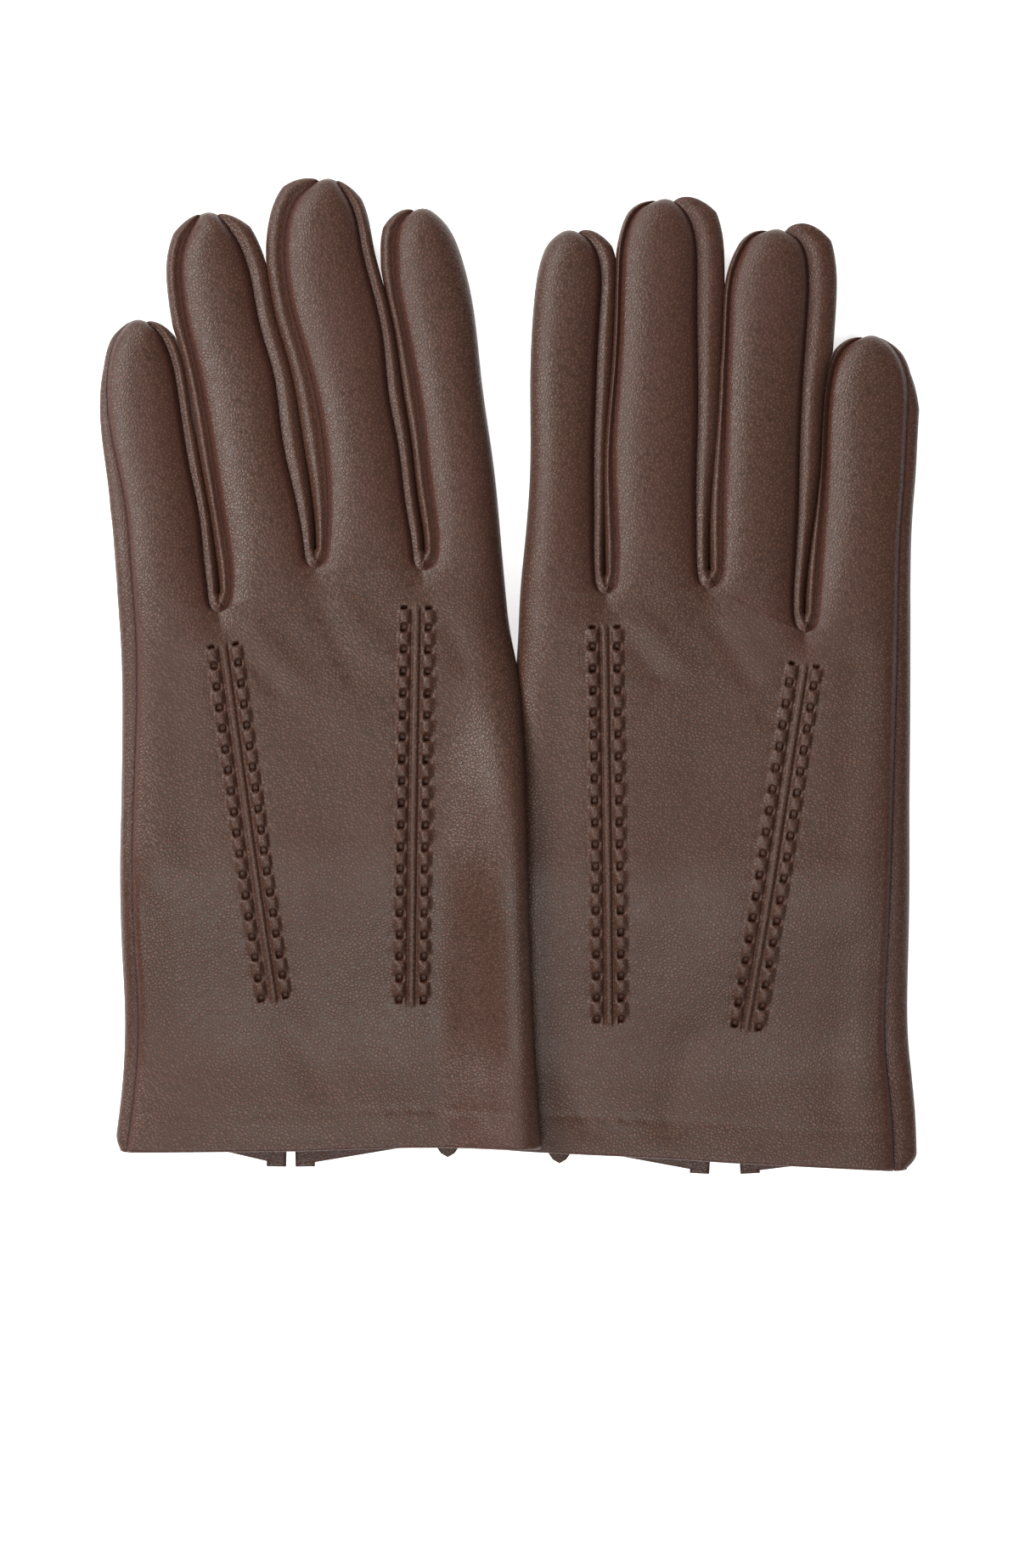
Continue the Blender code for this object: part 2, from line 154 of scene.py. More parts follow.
def crowded(count: int, low: float, high: float, reach: float) -> Array:
    """Shares from 0 to 1 that lie closer together near the ends.

    Args:
        count: How many gaps there are.
        low: How much closer they are near 0.
        high: How much closer they are near 1.
        reach: The share of the length that each crowd covers.

    Returns:
        count + 1 rising shares.
    """
    fine = np.linspace(0.0, 1.0, 2001)
    density = 1 + low * np.exp(-((fine / reach) ** 4)) + high * np.exp(-(((1 - fine) / reach) ** 4))
    total = np.concatenate([[0.0], np.cumsum((density[1:] + density[:-1]) / 2)])
    return np.interp(np.linspace(0.0, 1.0, count + 1), total / total[-1], fine)


class SeamLine:
    """A smooth line on the table through a pattern's marks."""

    STEPS = 24

    def __init__(self, marks: Marks, side: int = 1) -> None:
        """Fits the line.

        Args:
            marks: Points in millimetres that the line passes through.
            side: -1 turns the marks over in X.
        """
        spots = np.array(marks, float) * (side, 1)
        knots = np.concatenate([[0.0], np.cumsum(np.linalg.norm(np.diff(spots, axis=0), axis=1))])
        self.points = self.through(spots, knots)
        steps = np.linalg.norm(np.diff(self.points, axis=0), axis=1)
        self.reach = np.concatenate([[0.0], np.cumsum(steps)])
        rising = np.maximum.accumulate(self.points[:, 1]) == self.points[:, 1]
        self.top = len(rising) if rising.all() else int(np.argmin(rising))

    def through(self, spots: Array, knots: Array) -> Array:
        """Returns a natural cubic line through the spots, as closely spaced points."""
        gaps = np.diff(knots)
        size = len(spots)
        weights = np.eye(size)
        pulls = np.zeros_like(spots)
        for i in range(1, size - 1):
            weights[i, i - 1 : i + 2] = gaps[i - 1], 2 * (gaps[i - 1] + gaps[i]), gaps[i]
            ahead = (spots[i + 1] - spots[i]) / gaps[i]
            pulls[i] = 6 * (ahead - (spots[i] - spots[i - 1]) / gaps[i - 1])
        bends = np.linalg.solve(weights, pulls)
        made = []
        for i, gap in enumerate(gaps):
            after = np.linspace(0.0, 1.0, self.STEPS, endpoint=False)[:, None]
            before = 1 - after
            curve = (before**3 - before) * bends[i] + (after**3 - after) * bends[i + 1]
            made.append(before * spots[i] + after * spots[i + 1] + gap * gap / 6 * curve)
        return np.concatenate([*made, spots[-1:]])

    def at(self, share: Array, start: float = 0.0) -> Array:
        """Returns the points that lie these shares of the way from start to the end."""
        along = (start + (1 - start) * np.asarray(share)) * self.reach[-1]
        return np.stack([np.interp(along, self.reach, self.points[:, k]) for k in (0, 1)], -1)

    def x_at(self, y: Array | float) -> Array | float:
        """Returns the line's X at this Y, on the part that runs up the hand."""
        rising = self.points[: self.top]
        return np.interp(y, rising[:, 1], rising[:, 0])

    def share_at(self, y: float) -> float:
        """Returns how far along the line this Y lies, as a share of its length."""
        rising = self.points[: self.top]
        return float(np.interp(y, rising[:, 1], self.reach[: self.top]) / self.reach[-1])

    def distance(self, spots: Array) -> Array:
        """Returns each spot's distance from the line."""
        gaps = spots[:, None, :] - self.points[None, :, :]
        return np.sqrt((gaps**2).sum(-1).min(1))


def sewn_marks(marks: Marks, way: int, starts_at_fork: bool = True) -> Marks:
    """Rounds a finger seam into its fork and stops it short of the fingertip.

    Args:
        marks: The seam's marks, from the fork to the tip.
        way: The side of the tip that the seam ends on, -1 or 1 in X.
        starts_at_fork: Whether the first two marks are a fork and the seam just above it.

    Returns:
        The marks of the seam as it is sewn.
    """
    tip = (marks[-1][0] + way * CAP_HALF, marks[-1][1] - 0.25)
    marks = (*marks[:-1], tip)
    if not starts_at_fork:
        return marks
    fork, above = marks[0], marks[1]
    rounded = tuple(
        (mix(fork[0], above[0], x), mix(fork[1], above[1], y)) for x, y in ((0.6, 0.2), (0.95, 0.52))
    )
    return (fork, *rounded, (above[0] + 0.1 * (above[0] - fork[0]), above[1]), *marks[2:])


@dataclass
class Sheet:
    """A grid of leather or lining, in glove millimetres, with what its finish reads."""

    points: Array
    tag: Array | int = 0
    # edge carries painted shade and red dye by the seams, slots and forks to the leather's colour.
    edge: Array | None = None
    skipped: tuple[int, ...] = ()
    normals: Array | None = None

    def tags(self) -> Array:
        """Returns the tag of every point. Points of one tag that meet are shaded as one surface."""
        return np.broadcast_to(np.asarray(self.tag), self.points.shape[:2])

    def quads(self) -> Array:
        """Returns every cell of the grid as four point numbers."""
        rows, columns = self.points.shape[:2]
        number = np.arange(rows * columns).reshape(rows, columns)
        kept = [c for c in range(columns - 1) if c not in self.skipped]
        low, high = number[:-1][:, kept], number[1:][:, kept]
        low_next = number[:-1][:, [c + 1 for c in kept]]
        high_next = number[1:][:, [c + 1 for c in kept]]
        return np.stack([low, low_next, high_next, high], -1).reshape(-1, 4)


def sew_normals(sheets: list[Sheet]) -> None:
    """Gives sheets that meet one shared normal where they meet, as far as their tags allow."""
    spots = np.concatenate([s.points.reshape(-1, 3) for s in sheets])
    tags = np.concatenate([s.tags().reshape(-1) for s in sheets])
    keys = np.column_stack([np.round(spots * 500).astype(np.int64), tags])
    _, shared = np.unique(keys, axis=0, return_inverse=True)
    shared = shared.reshape(-1)
    total = np.zeros((shared.max() + 1, 3))
    first = 0
    for s in sheets:
        quads = s.quads() + first
        a, b, c, d = (spots[quads[:, k]] for k in range(4))
        facing = np.cross(c - a, d - b)
        for k in range(4):
            for axis in range(3):
                total[:, axis] += np.bincount(
                    shared[quads[:, k]], facing[:, axis], minlength=len(total)
                )
        first += s.points.shape[0] * s.points.shape[1]
    total /= np.maximum(np.linalg.norm(total, axis=1), 1e-12)[:, None]
    first = 0
    for s in sheets:
        count = s.points.shape[0] * s.points.shape[1]
        s.normals = total[shared[first : first + count]].reshape(s.points.shape)
        first += count


def sheet_piece(
    name: str, sheets: list[Sheet], side: int, finish: bpy.types.Material
) -> bpy.types.Object:
    """Makes one object from sheets, sewn to each other unless they are sewn already.

    Args:
        name: The piece's name.
        sheets: Its grids, in glove millimetres.
        side: -1 turns the piece over in X.
        finish: Its material.

    Returns:
        The piece, at the origin, with its place in its mesh.
    """
    if sheets[0].normals is None:
        sew_normals(sheets)
    spots = np.concatenate([s.points.reshape(-1, 3) for s in sheets])
    normals = np.concatenate([s.normals.reshape(-1, 3) for s in sheets])
    edges = np.concatenate(
        [(np.zeros(s.points.shape[:2]) if s.edge is None else s.edge).reshape(-1) for s in sheets]
    )
    offsets = np.cumsum([0] + [s.points.shape[0] * s.points.shape[1] for s in sheets])
    corners = np.concatenate([s.quads() + start for s, start in zip(sheets, offsets)])
    _, first, welded = np.unique(
        np.round(spots * 500).astype(np.int64), axis=0, return_index=True, return_inverse=True
    )
    welded = welded.reshape(-1)
    if side < 0:
        corners = corners[:, ::-1]
    faces = welded[corners]
    whole = np.ones(len(faces), bool)
    for a, b in ((0, 1), (1, 2), (2, 3), (3, 0), (0, 2), (1, 3)):
        whole &= faces[:, a] != faces[:, b]
    polygons = faces[whole].tolist()
    turned = (side, 1, 1)
    facing = (normals[corners[whole]].reshape(-1, 3) * turned).tolist()
    for face, corner in zip(faces[~whole].tolist(), corners[~whole].tolist()):
        kept = [k for k in range(4) if face[k] not in face[:k]]
        if len(kept) == 3:
            polygons.append([face[k] for k in kept])
            facing += [(normals[corner[k]] * turned).tolist() for k in kept]
    mesh = bpy.data.meshes.new(name)
    mesh.from_pydata((spots[first] * turned * MM).tolist(), [], polygons)
    mesh.polygons.foreach_set("use_smooth", np.ones(len(polygons), bool))
    # The edge attribute carries painted shade and red dye to the leather's colour.
    mesh.attributes.new("edge", "FLOAT", "POINT").data.foreach_set(
        "value", edges[first].astype(np.float32)
    )
    mesh.normals_split_custom_set(facing)
    mesh.materials.append(finish)
    piece = bpy.data.objects.new(name, mesh)
    bpy.context.scene.collection.objects.link(piece)
    return piece


def swept(path: Array, across: Array, over: Array, profile: Array) -> Sheet:
    """A closed bar with rounded ends, swept along a path.

    Args:
        path: The middle of the bar, n points.
        across: The unit direction across it, one or one for each point.
        over: The unit direction over it, one or one for each point.
        profile: The bar's half section (across, over), shaped (m, 2), or (n, m, 2) for each point.

    Returns:
        A grid with a closed section, closed at both ends.
    """
    across, over = (np.broadcast_to(d, path.shape)[:, None] for d in (across, over))
    rows = path[:, None] + profile[..., :1] * across + profile[..., 1:] * over
    rows = np.concatenate([rows, rows[:, :1]], 1)
    ends = [np.broadcast_to(p, rows[0].shape)[None] for p in (path[0], path[-1])]
    return Sheet(np.concatenate([ends[0], rows, ends[1]]))


def squared(turn: Array, power: float) -> Array:
    """Returns a unit circle drawn towards a square, more so for a lower power."""
    round_section = np.stack([np.cos(turn), np.sin(turn)], -1)
    return np.sign(round_section) * np.abs(round_section) ** power


def hex_colour(code: str) -> tuple[float, float, float, float]:
    """Returns an sRGB hex colour as linear red, green, blue and alpha."""
    parts = [int(code[k : k + 2], 16) / 255 for k in (1, 3, 5)]
    linear = [p / 12.92 if p <= 0.04045 else ((p + 0.055) / 1.055) ** 2.4 for p in parts]
    return (*linear, 1.0)


class Finish:
    """One procedural material, made node by node round a principled shader."""

    def __init__(self, name: str) -> None:
        """Makes a plain material of this name."""
        self.made = bpy.data.materials.new(name)
        self.made.use_nodes = True
        self.tree = self.made.node_tree
        self.place = self.add("TexCoord", "Object")

    def add(
        self, kind: str, output: str, inputs: dict | None = None, **settings: object
    ) -> bpy.types.NodeSocket:
        """Adds a shader node.

        Args:
            kind: The node's type, without its ShaderNode.
            output: The name of the output that is wanted.
            inputs: A value or another node's output for each of its inputs.
            **settings: The node's own settings.

        Returns:
            The wanted output.
        """
        made = self.tree.nodes.new(f"ShaderNode{kind}")
        for name, value in settings.items():
            setattr(made, name, value)
        self.feed(made, inputs or {})
        return made.outputs[output]

    def feed(self, made: bpy.types.Node, inputs: dict) -> None:
        """Gives a node's inputs their values, or links them to other nodes' outputs."""
        for socket, value in inputs.items():
            if isinstance(value, bpy.types.NodeSocket):
                self.tree.links.new(value, made.inputs[socket])
            else:
                made.inputs[socket].default_value = value

    def noise(self, size_mm: float, output: str = "Fac", **inputs: float) -> bpy.types.NodeSocket:
        """Returns noise with features of about this size."""
        place = {"Vector": self.place, "Scale": 1 / (size_mm * MM)}
        return self.add("TexNoise", output, {**place, **inputs})

    def ramp(
        self, value: bpy.types.NodeSocket, low: float, high: float, start: float = 0.0, end: float = 1.0
    ) -> bpy.types.NodeSocket:
        """Returns a rise from start to end as the value goes from low to high."""
        span = {"From Min": low, "From Max": high, "To Min": start, "To Max": end}
        return self.add("MapRange", "Result", {"Value": value, **span})

    def mixed(self, kind: str, share: object, start: object, end: object) -> bpy.types.NodeSocket:
        """Returns a mix of two values, vectors or colours."""
        return self.add("Mix", "Result", {"Factor": share, "A": start, "B": end}, data_type=kind)

    def maths(self, operation: str, *values: object) -> bpy.types.NodeSocket:
        """Returns the result of a sum on these values."""
        return self.add("Math", "Value", dict(enumerate(values)), operation=operation)

    def done(self, height: bpy.types.NodeSocket, depth_mm: float, inputs: dict) -> bpy.types.Material:
        """Returns the material, with this relief and these inputs on its shader."""
        relief = {"Height": height, "Strength": 1.0, "Distance": depth_mm * MM}
        bump = self.add("Bump", "Normal", relief)
        self.feed(self.tree.nodes["Principled BSDF"], {**inputs, "Normal": bump})
        return self.made


@dataclass(frozen=True)
class Nappa:
    """Drum-dyed nappa, a soft full-grain leather with a semi-matte finish.

    The grain is a net of fine pores and creases under a millimetre apart, drawn a little coarser
    than real so that it shows. The dye sits unevenly in soft patches. The edge attribute paints
    shade into the colour: redder beside the seams, on the side rolls and round the hem, partly a
    redder dye and partly painted shade, and nearly black in the seam grooves, the lace slots and
    the forks, which is painted shade.
    """

    name: str
    colour: str
    deep: str
    # The red beside the seams and on the side rolls: partly a redder dye, partly painted shade.
    red: str
    roughness: float
    # Nearly black: the painted shade in the seam grooves, the lace slots and the forks.
    seam: str = "#180E0B"
    specular: float = 0.24
    grain_mm: float = 0.85
    grain_depth_mm: float = 0.07

    def material(self) -> bpy.types.Material:
        """Returns the finish as a procedural material."""
        finish = Finish(self.name)
        edge = finish.add("Attribute", "Fac", attribute_name="edge")
        bent = finish.noise(1.7 * self.grain_mm, "Color", Detail=2.0)
        warped = finish.mixed("VECTOR", 0.00035, finish.place, bent)
        net = {"Vector": warped, "Scale": 1 / (self.grain_mm * MM)}
        cells = finish.add("TexVoronoi", "Distance", net, feature="DISTANCE_TO_EDGE")
        creases = finish.ramp(cells, 0.0, 0.3)
        patches = finish.noise(34, Detail=3.0, Roughness=0.55)
        uneven = finish.ramp(patches, 0.42, 0.75)
        fine = finish.noise(0.3, Detail=1.0)
        grain = finish.mixed("RGBA", creases, hex_colour(self.deep), hex_colour(self.colour))
        # Random patches add a little real red; the edge attribute adds red that is partly dye and partly
        # painted shade, and at its top end paints the seam grooves, lace slots and forks nearly black as
        # painted shade.
        reddened = finish.maths("MAXIMUM", edge, finish.maths("MULTIPLY", uneven, 0.22))
        red = finish.mixed("RGBA", finish.ramp(reddened, 0.0, 0.6), grain, hex_colour(self.red))
        seam_shaded = finish.mixed("RGBA", finish.ramp(edge, 0.6, 1.0), red, hex_colour(self.seam))
        polish = finish.ramp(patches, 0.3, 0.7, self.roughness - 0.05, self.roughness + 0.05)
        return finish.done(
            finish.mixed("FLOAT", 0.25, creases, fine),
            self.grain_depth_mm,
            {"Base Color": seam_shaded, "Specular IOR Level": self.specular, "Roughness": polish},
        )


@dataclass(frozen=True)
class Knit:
    """Brushed cashmere-blend knit, the lining: fine ribs with a soft fuzzy face."""

    name: str
    colour: str
    deep: str
    rib_mm: float = 1.1

    def material(self) -> bpy.types.Material:
        """Returns the finish as a procedural material."""
        finish = Finish(self.name)
        wave = {"Vector": finish.place, "Scale": 1 / (self.rib_mm * MM) / 6.3}
        loose = {"Distortion": 1.5, "Detail": 2.0}
        ribs = finish.add("TexWave", "Fac", {**wave, **loose}, bands_direction="X")
        fuzz = finish.noise(0.5, Detail=3.0)
        tint = finish.mixed("RGBA", ribs, hex_colour(self.deep), hex_colour(self.colour))
        return finish.done(
            finish.maths("ADD", ribs, fuzz),
            0.25,
            {"Base Color": tint, "Roughness": 0.95, "Sheen Weight": 0.4},
        )


class Row(Enum):
    """The two raised lines on the back of each glove, named for the finger that they point to."""

    INDEX = "index_point"
    LITTLE = "little_point"


@dataclass(frozen=True)
class Lacing:
    """One raised line with a leather lace run through slots along each side of it."""

    top: tuple[float, float]
    wrist: tuple[float, float]
    repeats: int
    offset: float = 3.05
    puff_length: float = 3.7
    puff_half: float = 1.4
    slot_half: float = 0.8
    slot_depth: float = 1.3
    ridge_half: float = 0.85

    @property
    def pitch(self) -> float:
        """The length of one puff and one slot."""
        return self.length / self.repeats

    @property
    def length(self) -> float:
        """The length of the line."""
        return math.dist(self.top, self.wrist)

    def local(self, x: Array, y: Array, side: int) -> tuple[Array, Array]:
        """Returns how far each point lies across the line, and along it from its top."""
        ahead = np.array([side * (self.wrist[0] - self.top[0]), self.wrist[1] - self.top[1]])
        ahead = ahead / np.linalg.norm(ahead)
        dx, dy = x - side * self.top[0], y - self.top[1]
        return dx * ahead[1] - dy * ahead[0], dx * ahead[0] + dy * ahead[1]

    def relief(self, across: Array, along: Array) -> tuple[Array, Array]:
        """The leather's height over the plain back, and the shade painted into its slots and groove.

        Args:
            across: Distance across the line, in millimetres.
            along: Distance from the line's top, in millimetres.

        Returns:
            The height in millimetres, and a share from 0 to 1.
        """
        inside = smooth(along, -1.2, 0.6) * (1 - smooth(along, self.length - 0.4, self.length + 1.4))
        far = np.abs(across)
        side = far - self.offset
        phase = np.mod(along, self.pitch)
        on_line = (along > -0.6) & (along < self.length)
        puff_mid = self.puff_length / 2 + 0.1
        over = np.clip(1 - np.abs((phase - puff_mid) / (self.puff_length / 2)) ** 2.6, 0, 1)
        wide = np.clip(1 - np.abs(side / self.puff_half) ** 2.4, 0, 1)
        puff = 0.95 * np.sqrt(over * wide) * on_line
        slot_mid = (self.puff_length + self.pitch) / 2 + 0.1
        slot_half = (self.pitch - self.puff_length) / 2 + 0.05
        gap = smooth(slot_half - np.abs(phase - slot_mid), -0.12, 0.28)
        gap = gap * smooth(self.slot_half - np.abs(side), -0.1, 0.25) * on_line
        ridge = 0.4 * np.clip(1 - (far / self.ridge_half) ** 2, 0, 1) ** 0.7
        stitch = 0.55 + 0.45 * np.cos(2 * math.pi * along / 1.5)
        groove = bell(far - 1.12, 0.24)
        trough = -0.14 * bell(across, 3.6) - 0.07 * bell(side - 1.9, 0.7)
        pull = 0.07 * np.cos(2 * math.pi * (phase - puff_mid) / self.pitch) * bell(side - 2.2, 1.0)
        height = trough + puff + pull + ridge - (0.28 + 0.22 * stitch) * groove
        height = height * inside - self.slot_depth * gap
        # Painted shade: the slots go nearly black, the stitched groove beside the ridge goes dark, and the
        # line of puffs and slots a little redder.
        shade_and_dye = 0.95 * gap + 0.7 * groove * stitch * inside + 0.14 * bell(side, 1.9) * inside
        return height, np.clip(shade_and_dye, 0, 1)


@dataclass(frozen=True)
class Crease:
    """A soft fold in the back, where the leather has been worn or pulled."""

    start: tuple[float, float]
    end: tuple[float, float]
    width: float
    height: float

    def rise(self, x: Array, y: Array, side: int) -> Array:
        """Returns how far the fold lifts or sinks the leather at each point."""
        ax, ay = side * self.start[0], self.start[1]
        dx, dy = side * self.end[0] - ax, self.end[1] - ay
        share = np.clip(((x - ax) * dx + (y - ay) * dy) / (dx * dx + dy * dy), 0, 1)
        away = np.hypot(x - ax - share * dx, y - ay - share * dy)
        return self.height * bell(away, self.width)


@dataclass(frozen=True)
class FingerCut:
    """One finger's seams, from its forks to its tip, the line it turns about, and its side rolls.

    The rolls are the width of the side walls near the tip, on the little side and the index side.
    """

    name: str
    outer: Marks
    inner: Marks
    crease: tuple[float, float]
    ahead: tuple[float, float]
    rolls: tuple[float, float]


@dataclass(frozen=True)
class GloveCut:
    """One glove's pattern as it lies on the table, in millimetres."""

    name: str
    side: int
    little_seam: Marks
    index_fold: Marks
    forks: Marks
    hem: Marks
    side_roll: Marks
    fingers: tuple[FingerCut, ...]
    lacing: dict[Row, Lacing]
    cuff_middle: tuple[float, float]
    overlap_lift: float
    thumb: tuple[float, float]
    thumb_ahead: tuple[float, float]
    roll_split: float
    vent_x: float
    vent_mouth: float
    vent_splay: float
    tab_x: float
    palm_marks: tuple[float, float, float]
    creases: tuple[Crease, ...]


LEFT_INNER_LITTLE = (
    (-72, 16.5), (-74.5, 21), (-76, 31), (-77, 40), (-79.8, 53.5), (-82.8, 71.5), (-86.1, 84.5),
    (-88.7, 88.5), (-93.2, 90.5),
)
LEFT = GloveCut(
    name="left",
    side=1,
    little_seam=(
        (-96, -118.2), (-94, -103), (-93, -89), (-93.5, -68), (-93.5, -32), (-93, 14), (-94, 26.5),
        (-95.5, 42), (-97.8, 53.5), (-100, 64), (-100.4, 79.5), (-98, 87), (-93, 90.5),
    ),
    index_fold=(
        (8.5, -117.5), (7, -95.5), (5.5, -63.5), (4.5, -32), (3.5, -8.5), (2.5, 2), (0.5, 12.5),
        (-0.5, 21), (-1.5, 32), (-3.5, 53), (-6.5, 74.5), (-9, 95.5), (-11.5, 106),
        (-13.8, 112), (-17, 116.4), (-21.5, 118.5),
    ),
    forks=((-94, 21), (-72, 16.5), (-48, 27.5), (-21.5, 27), (-1, 26)),
    hem=((-96.5, -117.9), (-58.8, -117.7), (-22.3, -116.6), (9, -116.6)),
    side_roll=((-117, 3.2), (-103, 3.3), (-91, 3.5), (-32, 3.2), (14, 4.3), (42, 4.2), (64, 2.4), (79, 1.3)),
    fingers=(
        FingerCut("little", (), LEFT_INNER_LITTLE, (-85.97, 24.62), (-0.115, 0.993), (0.0, 3.0)),
        FingerCut(
            "ring",
            ((-72, 16.5), (-69.5, 22), (-71, 38), (-75, 62.5), (-77.7, 76.5), (-80.5, 88),
             (-82.2, 98.5), (-82.3, 106), (-80.1, 113), (-75.3, 117.5)),
            ((-48, 27.5), (-50.5, 32), (-53.1, 45.5), (-56.4, 60), (-58.7, 76.5), (-62.5, 90), (-64.2, 99),
             (-66.8, 108), (-70.3, 114), (-75.3, 117.5)),
            (-60.47, 28.11), (-0.163, 0.986), (3.6, 4.6),
        ),
        FingerCut(
            "middle",
            ((-48, 27.5), (-45.5, 33), (-45.2, 49), (-47, 65), (-50.9, 81.5), (-54.1, 92.5),
             (-55.8, 101.5), (-55.9, 113), (-52.9, 121.5), (-45.4, 126)),
            ((-21.5, 27), (-23.5, 32), (-25.6, 44), (-27.4, 58.5), (-29.7, 70.5), (-31.5, 87), (-34.3, 99),
             (-36.9, 109.5), (-38.4, 117), (-40.9, 122.5), (-45.4, 126)),
            (-34.97, 31.79), (-0.131, 0.991), (4.7, 3.0),
        ),
        FingerCut(
            "index",
            ((-21.5, 27), (-18.5, 32), (-19.5, 45.5), (-21.5, 62.5), (-24, 78.5), (-26.5, 91),
             (-28, 99), (-28.5, 107), (-28, 113), (-25.8, 116.8), (-21.5, 118.5)),
            (), (-11.77, 34.77), (-0.132, 0.991), (3.6, 0.0),
        ),
    ),
    lacing={
        Row.INDEX: Lacing((-22.7, 17.4), (-24.2, -81), 18),
        Row.LITTLE: Lacing((-70.7, 8.1), (-58.6, -80.2), 17),
    },
    cuff_middle=(-43.82, -116.38),
    overlap_lift=9.5,
    thumb=(-16.82, -46.38),
    thumb_ahead=(-0.616, 0.788),
    roll_split=0.5,
    vent_x=-54.9,
    vent_mouth=3.5,
    vent_splay=3.9,
    tab_x=-15.2,
    palm_marks=(-72.0, -54.9, -24.0),
    creases=(
        Crease((-68, 9), (-58, -2), 2.4, -0.45),
        Crease((-64, 14), (-52, 0), 3.0, 0.3),
        Crease((-46, 17), (-39, 2), 3.0, -0.4),
        Crease((-41, 19), (-30, 6), 3.2, 0.25),
        Crease((-18, 18), (-10, 4), 3.0, -0.35),
        Crease((-6, -64), (-3.5, -112), 3.6, -0.6),
        Crease((-13, -70), (-11, -108), 4.0, 0.3),
        Crease((-54, -87), (-47, -101), 5.0, -0.55),
        Crease((-84, 2), (-80, -42), 5.0, -0.5),
        Crease((-88, -58), (-86, -104), 4.5, -0.4),
        Crease((-44, -20), (-38, -62), 7.0, -0.35),
    ),
)
RIGHT = GloveCut(
    name="right",
    side=-1,
    little_seam=(
        (97.2, -122.6), (96.5, -108), (95, -93.5), (95, -68), (96, -32), (97, 2), (97.5, 25.5),
        (98.1, 38), (99.3, 51), (100.1, 63.5), (99.9, 77), (98.5, 81), (96, 84.5), (91.5, 86.5),
    ),
    index_fold=(
        (-2, -117.5), (-1.5, -95.5), (-0.5, -63.5), (0.5, -32), (1, -10.5), (2.5, 10.5), (3, 21),
        (4, 32), (5.5, 53), (5.5, 74.5), (6.5, 95.5), (8, 105), (11, 111), (15.5, 113),
    ),
    forks=((97.4, 17), (74, 11.5), (50, 22.5), (24.5, 21), (3.2, 22)),
    hem=((-2.2, -117.3), (8.9, -117.9), (49.6, -120), (70.8, -121.7), (97.5, -122.6)),
    side_roll=((-117, 5.9), (-98, 6.1), (-76, 5.6), (-32, 4.4), (5, 3.6), (44, 3), (68, 3), (77, 1.5)),
    fingers=(
        FingerCut(
            "little", (),
            ((74, 11.5), (76.5, 16.5), (78, 33), (79.3, 49), (80.1, 64.5), (81, 74), (83, 81),
             (86.4, 85), (91.5, 86.5)),
            (88.43, 21.22), (0.064, 0.998), (0.0, 1.8),
        ),
        FingerCut(
            "ring",
            ((74, 11.5), (71.5, 16.5), (71.5, 25.5), (72.5, 41), (73, 56.5), (74.6, 84), (75.5, 96),
             (75.3, 105), (73, 111), (67.5, 113.3)),
            ((50, 22.5), (53, 27), (53.5, 37), (53.8, 49), (54.4, 64.5), (55, 80), (55.6, 93.5),
             (56.5, 101.5), (58.9, 108), (62, 111.9), (67.5, 113.3)),
            (62.93, 23.15), (0.091, 0.996), (7.2, 1.6),
        ),
        FingerCut(
            "middle",
            ((50, 22.5), (47.5, 27), (47, 37), (47, 49), (47.5, 64.5), (47.5, 96), (47.5, 106),
             (46.6, 113.5), (44, 118.6), (39.5, 120.9)),
            ((24.5, 21), (26.5, 26), (26.5, 41), (26, 56.5), (27, 72.5), (28, 88), (28.5, 103.5),
             (29.7, 112.5), (33, 118.6), (39.5, 120.9)),
            (37.43, 25.09), (0.066, 0.998), (7.0, 1.6),
        ),
        FingerCut(
            "index",
            ((24.5, 21), (22, 25.5), (21.5, 41), (21.5, 56.5), (22, 71), (22.5, 83.5), (23.2, 94.5),
             (23.4, 102.5), (22, 108.5), (19.4, 111.8), (15.5, 113)),
            (), (14.23, 26.4), (0.048, 0.999), (4.2, 0.0),
        ),
    ),
    lacing={
        Row.INDEX: Lacing((24.1, 12.7), (25.4, -85.9), 18),
        Row.LITTLE: Lacing((73.8, 3.2), (59.8, -87.4), 17),
    },
    cuff_middle=(49.48, -119.78),
    overlap_lift=0.0,
    thumb=(22.48, -49.78),
    thumb_ahead=(0.616, 0.788),
    roll_split=0.75,
    vent_x=54.8,
    vent_mouth=9.0,
    vent_splay=2.9,
    tab_x=13.0,
    palm_marks=(72.0, 54.8, 25.0),
    creases=(
        Crease((12, -4), (9, -58), 5.0, -0.5),
        Crease((28, 12), (37, 1), 3.0, -0.4),
        Crease((33, 15), (44, 3), 3.2, 0.25),
        Crease((53, 12), (60, 0), 3.0, -0.4),
        Crease((70, 3), (64, -8), 2.6, -0.35),
        Crease((87, 4), (84, -42), 5.0, -0.5),
        Crease((46, -91), (40, -112), 5.0, -0.55),
        Crease((10, -92), (20, -114), 5.0, -0.55),
        Crease((85, -68), (83, -108), 5.0, -0.45),
        Crease((46, -24), (40, -66), 7.0, -0.35),
    ),
)


